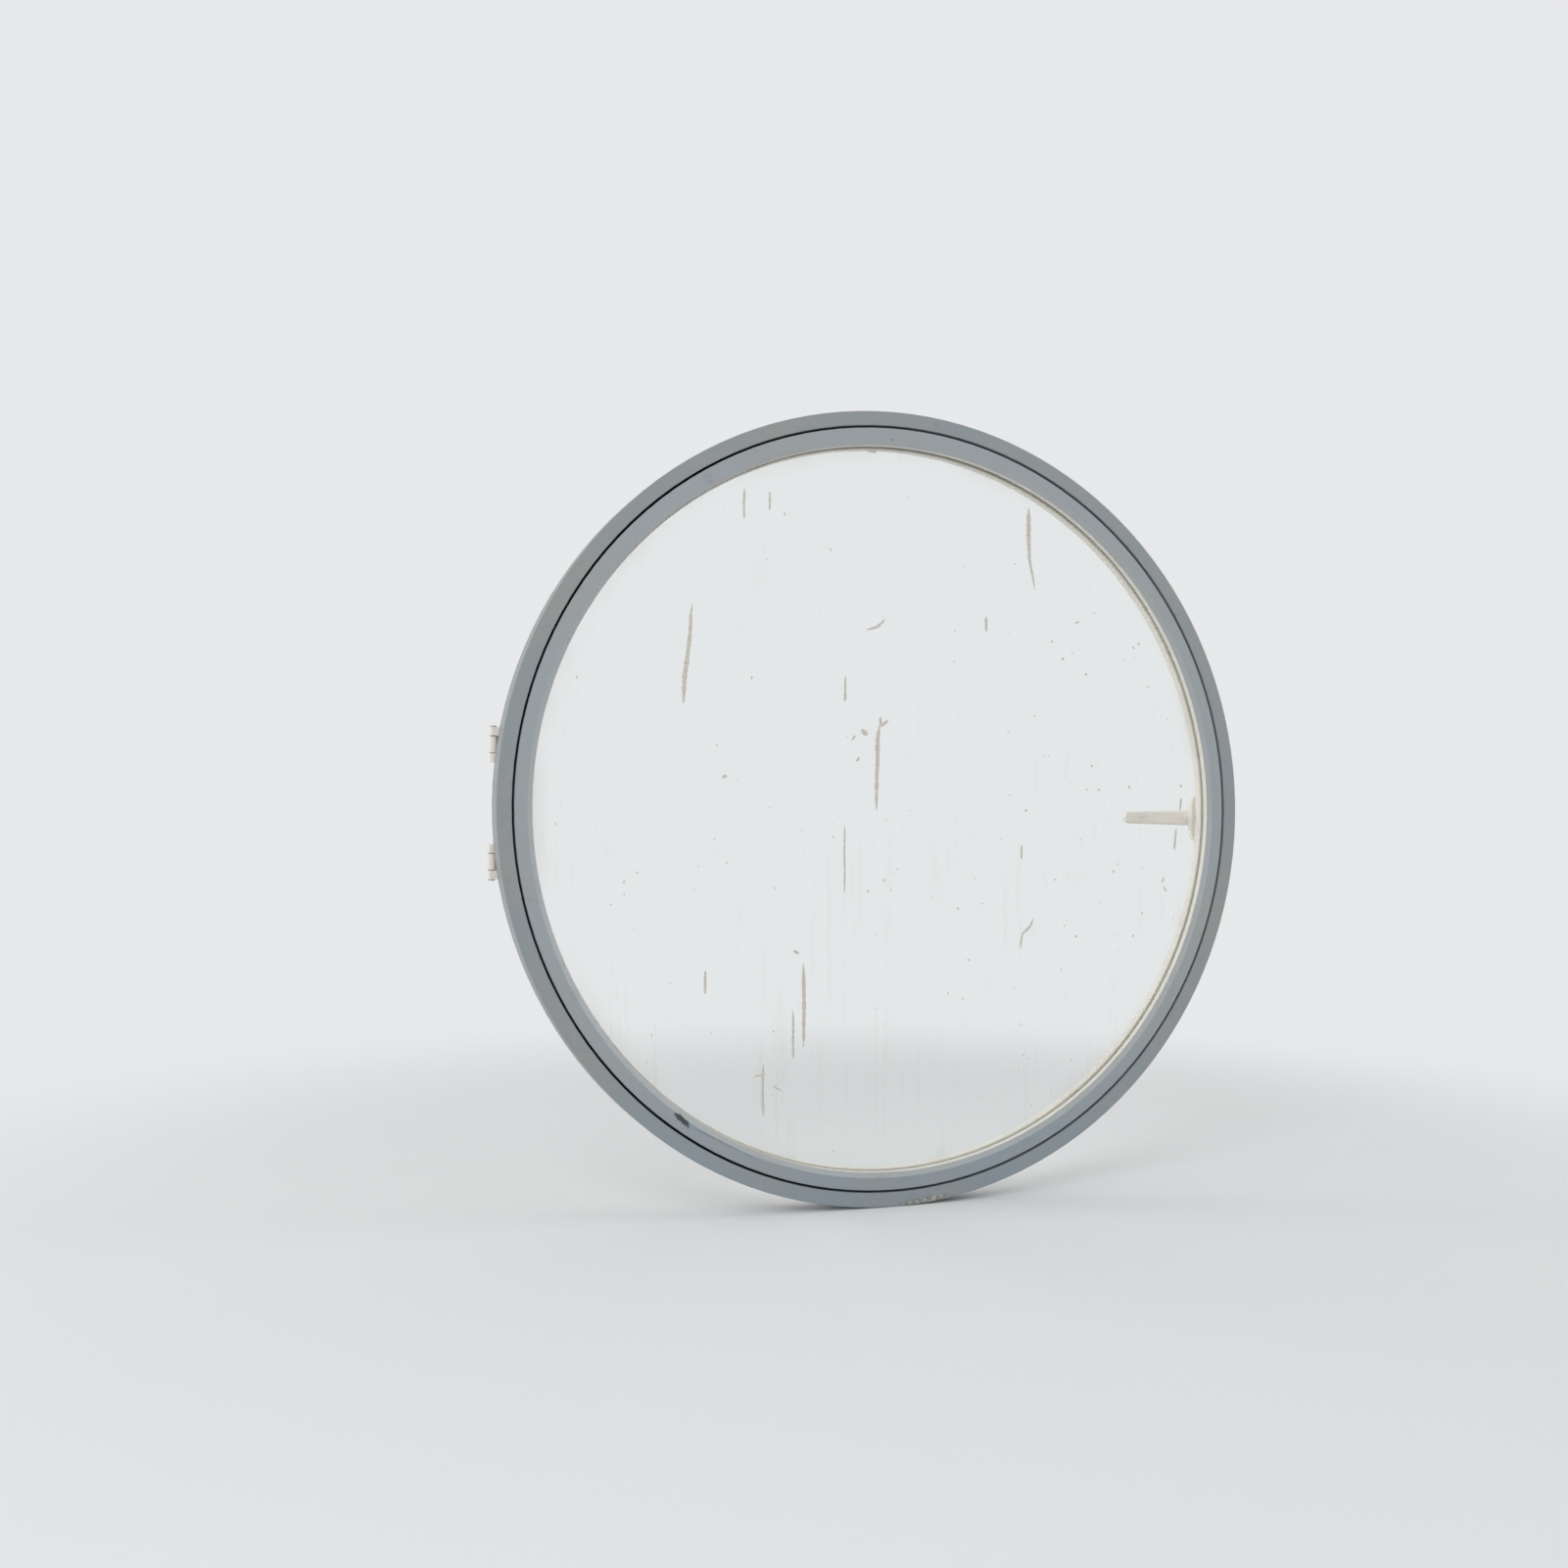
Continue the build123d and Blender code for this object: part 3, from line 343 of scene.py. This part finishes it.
# Glass and the film of dust on it
GLASS_IOR = 1.5
RAIN_RUNS = ((70.0, 1.0, 4.0), 5.0, 0.6)
RUN_RANGE = (0.50, 0.82)
FILM_CLOUDS = (4.0, 5.0, 0.6)
PATCH_RANGE = (0.42, 0.68)
PATCH_LEAST = 0.05
FILM_HEIGHTS = (0.25, -0.6)
FILM_LEAST = 0.25
RIM_FILM_WIDTH = 0.035
RIM_FILM_SHARE = 0.5
FILM_GRAINS = (420.0, 2.0)
FILM_GRAIN_RANGE = (0.66, 0.74)
FILM_GRAIN_SHARE = 0.35
FILM_SHARE = 0.20
DUST_FILM_ROUGHNESS = 0.85
SPLASH_GRAIN = (260.0, 5.0, 0.7)
SPLASH_RANGE = (0.35, 0.70)
SPLASH_ROUGHNESS = 0.9
SPLASH_BUMP = (0.6, 0.0005)


def material(name):
    made = bpy.data.materials.new(name)
    return made, Nodes(made)


def coated(n, base, roughness, dust_share, relief=None):
    """Powder coat with a fine orange peel, dust that settled unevenly and a few grimy rubs."""
    dusty = n.times(n.between(n.noise(*DUST_CLOUDS), *CLOUD_RANGE),
                    n.between(n.noise(*DUST_GRAINS), *GRAIN_RANGE))
    tinted = n.mix(n.times(dusty, dust_share), base, DUST)
    rubbed = n.times(n.between(n.streaks(*RUBS), *RUB_RANGE), RUB_SHARE)
    tinted = n.mix(rubbed, tinted, GRIME)
    rough = n.plus(roughness, n.times(dusty, DUST_ROUGHNESS))
    height = n.plus(n.times(n.noise(*ORANGE_PEEL), PEEL_HEIGHT),
                    n.times(n.noise(*WAVES), WAVE_HEIGHT))
    if relief:
        height = n.plus(height, relief)
    return n.principled(tinted, rough, Normal=n.bump(height, *COAT_BUMP))


def sky_lit_below(n, base, height):
    """Painted skylight: the lower half is tinted bluer, standing in for the sky's light on the
    faces there.
    """
    return n.mix(n.between(height, *SKY_LIT_RANGE, 0.0, SKY_LIT_SHARE), base, SKY_LIT_GREY)


def sash_coat():
    """Grey towards outdoors, bluer low down as painted skylight, paler on the bevel as a painted
    highlight, off-white inside the lip as two-tone paint with painted warm lamp light, and towards
    the room.
    """
    made, n = material("sash_coat")
    radius, depth, height = n.polar()
    # Paler on the bevel as a painted highlight
    face = n.mix(n.between(radius, BEVEL_RADIUS + SOFT_EDGE, BEVEL_RADIUS - SOFT_EDGE),
                 sky_lit_below(n, SASH_GREY, height), BEVEL_HIGHLIGHT_GREY)
    # Off-white inside the lip: two-tone paint, and also painted warm lamp light from the room
    # falling on the reveal
    inside = n.times(n.between(depth, BEVEL_Y - SOFT_EDGE / 2, BEVEL_Y + SOFT_EDGE / 2),
                     n.between(radius, REBATE_RADIUS + REBATE_WHITE_ENDS,
                               REBATE_RADIUS + REBATE_WHITE_FULL))
    room = n.between(depth, -SOFT_EDGE, SOFT_EDGE)
    white = n.greater(inside, room)
    dirt = n.noise(*SMEAR_GRAINS)
    outdoor = n.between(depth, BEVEL_Y, SASH_FACE_Y)
    smear = n.plus(n.mark(SMEAR, dirt), n.times(n.mark(SMEAR_TAIL, dirt), TAIL_SHARE))
    specks = n.between(n.noise(*SPECKS), *SPECK_RANGE)
    smudged = n.mix(n.times(n.plus(smear, specks), outdoor), n.mix(white, face, WARM_WHITE), SMUDGE)
    dust_share = n.mix(white, grey(SASH_GREY_DUST), grey(SASH_WHITE_DUST))
    n.finish(coated(n, smudged, SASH_ROUGHNESS, dust_share))
    return made


def frame_coat():
    """Grey towards outdoors, darker than the sash as painted shade and bluer low down as painted
    skylight, and off-white on the base and on the room face.
    """
    made, n = material("frame_coat")
    radius, depth, height = n.polar()
    base = n.times(n.between(depth, STOP_Y - SOFT_EDGE, STOP_Y + SOFT_EDGE),
                   n.between(radius, BASE_RADIUS + SOFT_EDGE, BASE_RADIUS + SOFT_EDGE / 2))
    room = n.between(depth, RING_HIGH.y - ROOM_WHITE_STARTS, RING_HIGH.y - ROOM_WHITE_FULL)
    white = n.greater(base, room)
    grains = n.noise(*CRUMB_GRAINS)
    stain = n.mark(CRUMBS, grains)
    crumbs = n.times(stain, n.between(grains, *CRUMB_RANGE))
    face = n.mix(white, sky_lit_below(n, RING_SHADED_GREY, height), WARM_WHITE)
    soiled = n.mix(crumbs, n.mix(n.times(stain, STAIN_SHARE), face, MORTAR_STAIN), MORTAR)
    dust_share = n.mix(white, grey(FRAME_GREY_DUST), grey(FRAME_WHITE_DUST))
    n.finish(coated(n, soiled, FRAME_ROUGHNESS, dust_share, n.times(crumbs, CRUMB_RELIEF)))
    return made


def white_coat(name, base, roughness):
    made, n = material(name)
    n.finish(coated(n, base, roughness, WHITE_COAT_DUST))
    return made


def rubber(name, base):
    made, n = material(name)
    dusty = n.between(n.noise(*RUBBER_DUST), *RUBBER_DUST_RANGE)
    tint = n.mix(n.times(dusty, RUBBER_DUST_SHARE), base, DUST)
    relief = n.bump(n.noise(*RUBBER_GRAIN), *RUBBER_BUMP)
    n.finish(n.principled(tint, RUBBER_ROUGHNESS, Normal=relief))
    return made


def metal(name, base, roughness, grain):
    made, n = material(name)
    streaks = n.streaks(grain, METAL_DETAIL)
    tint = n.mix(n.between(streaks, *METAL_STREAK_RANGE), base, darker(base, METAL_DARK_SHARE))
    rough = n.between(streaks, *METAL_ROUGH_RANGE, roughness - METAL_SMOOTHER,
                      roughness + METAL_ROUGHER)
    n.finish(n.principled(tint, rough, Metallic=1.0, Normal=n.bump(streaks, *METAL_BUMP)))
    return made


def plastic(name, base, roughness):
    made, n = material(name)
    spread = n.noise(*PLASTIC_GRAIN)
    tint = n.mix(n.between(spread, *PLASTIC_RANGE), base, darker(base, PLASTIC_DARK_SHARE))
    n.finish(n.principled(tint, roughness, Normal=n.bump(spread, *PLASTIC_BUMP)))
    return made


def glass():
    """Clear float glass under a thin film of dust, with faint rain runs that thicken low down."""
    made, n = material("glass")
    clear = n.principled(GLASS_TINT, roughness=0.0, IOR=GLASS_IOR, Transmission_Weight=1.0)
    see_through = n.shader("BsdfTransparent", {"Color": GLASS_SHADOW})
    pane = n.mix_shaders(n.add("LightPath").outputs["Is Shadow Ray"], clear, see_through)
    radius, _, height = n.polar()
    patchy = n.between(n.noise(*FILM_CLOUDS), *PATCH_RANGE, PATCH_LEAST, 1.0)
    film = n.times(n.times(n.between(n.streaks(*RAIN_RUNS), *RUN_RANGE), patchy),
                   n.between(height, *FILM_HEIGHTS, FILM_LEAST, 1.0))
    rim = n.times(n.between(radius, SIGHT_RADIUS - RIM_FILM_WIDTH, SIGHT_RADIUS,
                            0.0, RIM_FILM_SHARE), patchy)
    grains = n.times(n.between(n.noise(*FILM_GRAINS), *FILM_GRAIN_RANGE), FILM_GRAIN_SHARE)
    share = n.times(n.plus(n.plus(film, rim), grains), FILM_SHARE)
    dust = n.principled(GLASS_DUST, DUST_FILM_ROUGHNESS)
    n.finish(n.mix_shaders(share, pane, dust))
    return made


def splash_coat():
    made, n = material("splash")
    spread = n.noise(*SPLASH_GRAIN)
    tint = n.mix(n.between(spread, *SPLASH_RANGE), SPLASH_LIGHT, SPLASH_DARK)
    n.finish(n.principled(tint, SPLASH_ROUGHNESS, Normal=n.bump(spread, *SPLASH_BUMP)))
    return made


# Edges that turn by more than this, in degrees, stay sharp
CAD_SHARP = 28
PIECE_SHARP = 40


def clad(mesh, surface, sharp):
    """One material and smooth faces with sharp edges."""
    mesh.materials.clear()
    mesh.materials.append(surface)
    mesh.polygons.foreach_set("use_smooth", [True] * len(mesh.polygons))
    mesh.set_sharp_from_angle(angle=math.radians(sharp))


def dress():
    """A material for every CAD node but the glass pane, which glass_disc replaces."""
    by_slot = {
        "frame_coat": frame_coat(),
        "sash_coat": sash_coat(),
        "bead_coat": white_coat("bead_coat", WARM_WHITE, roughness=0.34),
        "handle_coat": white_coat("handle_coat", HANDLE_WHITE, roughness=0.28),
        "hinge_coat": white_coat("hinge_coat", WARM_WHITE, roughness=0.34),
        "handle_cap": plastic("handle_cap", HANDLE_WHITE, roughness=0.3),
        "seal": rubber("seal", SEAL_BLACK),
        "glazing_seal": rubber("glazing_seal", SEAL_WHITE),
        "hard_rubber": rubber("hard_rubber", BLOCK_GREY),
        "bare_aluminium": metal("bare_aluminium", MILL_GREY, roughness=0.36,
                                grain=(300.0, 900.0, 300.0)),
        "steel": metal("steel", ZINC_GREY, roughness=0.32, grain=(900.0, 60.0, 900.0)),
        "plastic_cap": plastic("plastic_cap", CAP_GREY, roughness=0.45),
        "bush_plastic": plastic("bush_plastic", BUSH_BLACK, roughness=0.4),
    }
    for part in frame["record"]["subparts"]:
        surface = by_slot.get(part["material_slot"])
        if surface:
            clad(frame["nodes"][part["node"]].data, surface, CAD_SHARP)


def piece(name, shape, surface, body):
    mesh = bpy.data.meshes.new(name)
    bmesh.ops.recalc_face_normals(shape, faces=shape.faces)
    shape.to_mesh(mesh)
    shape.free()
    clad(mesh, surface, PIECE_SHARP)
    made = bpy.data.objects.new(name, mesh)
    bpy.context.scene.collection.objects.link(made)
    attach(made, body)
    return made


def band(mesh, first, second):
    """Faces between two closed rings with as many points."""
    for here in range(len(first)):
        after = (here + 1) % len(first)
        mesh.faces.new((first[here], first[after], second[after], second[here]))


# The glass disc, its arrises ground off. It keeps an air film to what it lies against.
AIR_FILM = 0.00005
ARRIS = 0.0008
GLASS_STEPS = 256


def glass_disc(surface):
    mesh = bmesh.new()
    low, high, rim = GLASS_OUT + AIR_FILM, GLASS_IN - AIR_FILM, GLASS_RADIUS
    profile = ((rim / 2, low), (rim - ARRIS, low), (rim, low + ARRIS), (rim, high - ARRIS),
               (rim - ARRIS, high), (rim / 2, high))
    turns = [2 * math.pi * step / GLASS_STEPS for step in range(GLASS_STEPS)]
    rings = []
    for radius, y in profile:
        rings.append([mesh.verts.new((radius * math.cos(turn), y, radius * math.sin(turn)))
                      for turn in turns])
    for first, second in zip(rings, rings[1:]):
        band(mesh, first, second)
    for ring, y in ((rings[0], low), (rings[-1], high)):
        middle = mesh.verts.new((0.0, y, 0.0))
        for here in range(GLASS_STEPS):
            mesh.faces.new((middle, ring[here], ring[(here + 1) % GLASS_STEPS]))
    disc = piece("glass_disc", mesh, surface, "sash")
    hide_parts("glass_pane")


# Splashes on the outdoor side of the glass
SPLASH_SEED = 11
SPLASH_HEIGHT = 0.0005
SPLASH_SPREAD = 1.5
# Section of a splash: share of its half width and of its height
MOUND = ((-1.0, 0.0), (-0.8, 0.55), (-0.35, 1.0), (0.35, 1.0), (0.8, 0.55), (1.0, 0.0))
NOISE_SPAN = 90
RUN_STEP = 0.0035
RUN_LEAST_STEPS = 6
TAPER_RATE = 6
TAPER_LEAST = 0.25
RUN_RISE = 0.6
RUN_RISE_WIDE = 0.4
RUN_RAGGED = 0.45
RUN_RAGGED_RATE = 220
SWAY = 0.0012
SWAY_RATE = 30
SWAY_ROW = 7.0
SPOT_STEPS = 7
SPOT_CUT = 0.04
SPOT_RAGGED = 0.3
SPOT_RAGGED_RATE = 1.7
# Each run is a path of (x, z, width) in metres
RUNS = {
    "left": ((-0.344, 0.318, 0.0030), (-0.349, 0.250, 0.0042), (-0.356, 0.200, 0.0052),
             (-0.357, 0.160, 0.0040)),
    "middle": ((-0.022, 0.136, 0.0040), (-0.027, 0.114, 0.0050), (-0.027, 0.060, 0.0048),
               (-0.028, -0.006, 0.0030)),
    "fork_left": ((-0.022, 0.148, 0.0030), (-0.022, 0.136, 0.0040)),
    "fork_right": ((-0.008, 0.144, 0.0026), (-0.022, 0.132, 0.0036)),
    "low": ((-0.153, -0.254, 0.0034), (-0.151, -0.320, 0.0044), (-0.152, -0.389, 0.0028)),
    "low_beside": ((-0.170, -0.329, 0.0024), (-0.169, -0.406, 0.0030)),
    "low_left": ((-0.220, -0.412, 0.0022), (-0.219, -0.496, 0.0028)),
    "high_right": ((0.248, 0.513, 0.0052), (0.248, 0.470, 0.0056), (0.250, 0.426, 0.0036),
                   (0.261, 0.372, 0.0018)),
    "high_left": ((-0.260, 0.507, 0.0030), (-0.259, 0.459, 0.0024)),
    "high_left_beside": ((-0.217, 0.506, 0.0026), (-0.216, 0.476, 0.0020)),
    "above_middle": ((-0.084, 0.214, 0.0022), (-0.084, 0.172, 0.0028)),
    "below_middle": ((-0.084, -0.030, 0.0018), (-0.083, -0.140, 0.0022)),
    "upper": ((0.169, 0.323, 0.0034), (0.169, 0.298, 0.0030)),
    "far_left": ((-0.317, -0.261, 0.0024), (-0.317, -0.298, 0.0030)),
    "right": ((0.238, -0.062, 0.0022), (0.238, -0.086, 0.0028)),
    "by_lever": ((0.550, 0.022, 0.0026), (0.548, -0.001, 0.0022)),
    "under_lever": ((0.541, -0.032, 0.0030), (0.537, -0.070, 0.0022)),
    "hook": ((0.260, -0.186, 0.0022), (0.255, -0.198, 0.0028), (0.240, -0.212, 0.0024),
             (0.237, -0.238, 0.0020)),
    "hair": ((-0.048, 0.291, 0.0018), (-0.030, 0.296, 0.0032), (-0.021, 0.303, 0.0026),
             (-0.015, 0.311, 0.0016)),
}
# Single spots: (x, z, width, length, lean in degrees)
SPOTS = (
    (-0.050, 0.122, 0.0080, 0.0140, -38.0), (-0.069, 0.113, 0.0034, 0.0100, 50.0),
    (-0.061, 0.078, 0.0044, 0.0090, 60.0), (-0.288, 0.046, 0.0050, 0.0090, 20.0),
    (-0.165, -0.235, 0.0050, 0.0110, -30.0), (-0.040, 0.586, 0.0050, 0.0160, -5.0),
    (0.372, 0.075, 0.0046, 0.0046, 0.0), (0.362, 0.034, 0.0036, 0.0036, 0.0),
    (0.386, 0.034, 0.0036, 0.0044, 70.0), (0.446, 0.040, 0.0048, 0.0048, 0.0),
    (0.550, 0.043, 0.0048, 0.0048, 0.0), (0.246, -0.003, 0.0044, 0.0044, 0.0),
    (0.415, -0.107, 0.0044, 0.0044, 0.0), (0.514, -0.122, 0.0030, 0.0110, 70.0),
    (0.518, -0.138, 0.0028, 0.0110, -60.0), (0.342, -0.218, 0.0044, 0.0044, 0.0),
    (-0.013, -0.120, 0.0036, 0.0060, 80.0), (-0.042, -0.138, 0.0030, 0.0050, 20.0),
    (0.120, -0.168, 0.0036, 0.0036, 0.0), (0.315, 0.258, 0.0044, 0.0060, 60.0),
    (0.360, 0.233, 0.0036, 0.0050, 30.0), (0.464, 0.290, 0.0036, 0.0050, 50.0),
    (0.342, 0.322, 0.0036, 0.0080, 15.0), (-0.225, -0.430, 0.0026, 0.0220, 8.0),
    (-0.196, -0.452, 0.0024, 0.0180, -30.0),
)
# Fine spots, strewn over the glass, thicker on the right and low down
FINE_SPOTS = 260
FINE_REACH = 0.57
FINE_RADIUS = 0.575
FINE_SHARE = 0.25
FINE_SHARE_RIGHT = 0.45
FINE_SHARE_LOW = 0.30
FINE_RIGHT_FROM = 0.1
FINE_LEAST = 0.0009
FINE_SPREAD = 0.0020
FINE_SKEW = 3
FINE_STRETCH = (1.0, 2.4)
FINE_LEAN = (90, 25)


def mound(mesh, rows):
    """A closed low mound on the glass through rows of (centre, half width, height, across)."""
    rings = []
    for centre, half, high, across in rows:
        ring = []
        for share, rise in MOUND:
            at = centre + across * (share * half)
            ring.append(mesh.verts.new((at.x, GLASS_OUT - rise * high, at.y)))
        rings.append(ring)
    for first, second in zip(rings, rings[1:]):
        band(mesh, first, second)
    mesh.faces.new(list(reversed(rings[0])))
    mesh.faces.new(rings[-1])


def run(mesh, path, draw):
    """A splash that ran down, its line a little wavy and its width uneven."""
    points = [Vector(point) for point in path]
    spans = [(b - a).xy.length for a, b in zip(points, points[1:])]
    total = sum(spans)
    steps = max(RUN_LEAST_STEPS, int(total / RUN_STEP))
    seed = draw.uniform(0, NOISE_SPAN)
    rows = []
    for step in range(steps + 1):
        left = total * step / steps
        index = 0
        while index < len(spans) - 1 and left > spans[index]:
            left -= spans[index]
            index += 1
        at = points[index].lerp(points[index + 1], min(1.0, left / spans[index]))
        along = (points[index + 1] - points[index]).xy.normalized()
        across = Vector((-along.y, along.x))
        share = step / steps
        taper = min(1.0, TAPER_RATE * share + TAPER_LEAST, TAPER_RATE * (1 - share) + TAPER_LEAST)
        ragged = 1 + RUN_RAGGED * noise.noise(Vector((seed, RUN_RAGGED_RATE * total * share, 0.0)))
        sway = SWAY * noise.noise(Vector((seed, SWAY_RATE * total * share, SWAY_ROW)))
        rows.append((at.xy + across * sway, SPLASH_SPREAD * at.z * taper * ragged / 2,
                     SPLASH_HEIGHT * (RUN_RISE + RUN_RISE_WIDE * taper * ragged), across))
    mound(mesh, rows)


def spot(mesh, x, z, width, length, lean, draw):
    """A blob, longer along its lean."""
    seed = draw.uniform(0, NOISE_SPAN)
    along = Vector((math.cos(math.radians(lean)), math.sin(math.radians(lean))))
    across = Vector((-along.y, along.x))
    rows = []
    for step in range(SPOT_STEPS + 1):
        turn = math.pi * (SPOT_CUT + (1 - 2 * SPOT_CUT) * step / SPOT_STEPS)
        ragged = 1 + SPOT_RAGGED * noise.noise(Vector((seed, SPOT_RAGGED_RATE * step, 0.0)))
        centre = Vector((x, z)) + along * (-math.cos(turn) * length / 2)
        rows.append((centre, math.sin(turn) * width / 2 * ragged,
                     SPLASH_HEIGHT * math.sin(turn), across))
    mound(mesh, rows)


def glass_splashes(surface):
    draw = random.Random(SPLASH_SEED)
    mesh = bmesh.new()
    for path in RUNS.values():
        run(mesh, path, draw)
    for x, z, width, length, lean in SPOTS:
        spot(mesh, x, z, width, length, lean, draw)
    made = 0
    while made < FINE_SPOTS:
        x, z = draw.uniform(-FINE_REACH, FINE_REACH), draw.uniform(-FINE_REACH, FINE_REACH)
        thick = FINE_SHARE + FINE_SHARE_RIGHT * (x > FINE_RIGHT_FROM) + FINE_SHARE_LOW * (z < 0)
        if math.hypot(x, z) < FINE_RADIUS and draw.random() < thick:
            size = FINE_LEAST + FINE_SPREAD * draw.random() ** FINE_SKEW
            spot(mesh, x, z, size, size * draw.uniform(*FINE_STRETCH), draw.gauss(*FINE_LEAN), draw)
            made += 1
    piece("glass_splashes", mesh, surface, "sash")


def floor():
    made, n = material("floor")
    plain = n.shader("BsdfDiffuse", {"Color": BACKDROP})
    glow = n.shader("Emission", {"Color": BACKDROP, "Strength": 1.0})
    fade = n.between(n.length(n.place()), FLOOR_NEAR, FLOOR_FAR)
    n.finish(n.mix_shaders(n.times(fade, n.shows_backdrop()), plain, glow))
    half = FLOOR_SIZE / 2
    mesh = bpy.data.meshes.new("floor")
    mesh.from_pydata([(-half, -half, 0), (half, -half, 0), (half, half, 0), (-half, half, 0)], [],
                     [(0, 1, 2, 3)])
    mesh.materials.append(made)
    ground = bpy.data.objects.new("floor", mesh)
    ground.location.z = RING_LOW.z - FLOOR_DROP
    bpy.context.scene.collection.objects.link(ground)


def world():
    sky = bpy.data.worlds.new("world")
    bpy.context.scene.world = sky
    n = Nodes(sky)
    ambient = n.shader("Background", {"Color": grey(1.0), "Strength": AMBIENT})
    shown = n.shader("Background", {"Color": BACKDROP, "Strength": 1.0})
    n.finish(n.mix_shaders(n.shows_backdrop(), ambient, shown), "OutputWorld")


def lamp(name, place, size, watts, mirrored):
    """A round soft lamp aimed at the window."""
    data = bpy.data.lights.new(name, "AREA")
    data.shape = "DISK"
    data.size = size
    data.energy = watts
    made = bpy.data.objects.new(name, data)
    made.location = place
    made.rotation_euler = (-Vector(place)).to_track_quat("-Z", "Y").to_euler()
    made.visible_camera = False
    made.visible_transmission = False
    made.visible_glossy = mirrored
    bpy.context.scene.collection.objects.link(made)


def studio():
    floor()
    world()
    for entry in LAMPS:
        lamp(*entry)
    bpy.context.scene.view_settings.view_transform = "Standard"


camera()
dress()
glass_disc(glass())
glass_splashes(splash_coat())
studio()
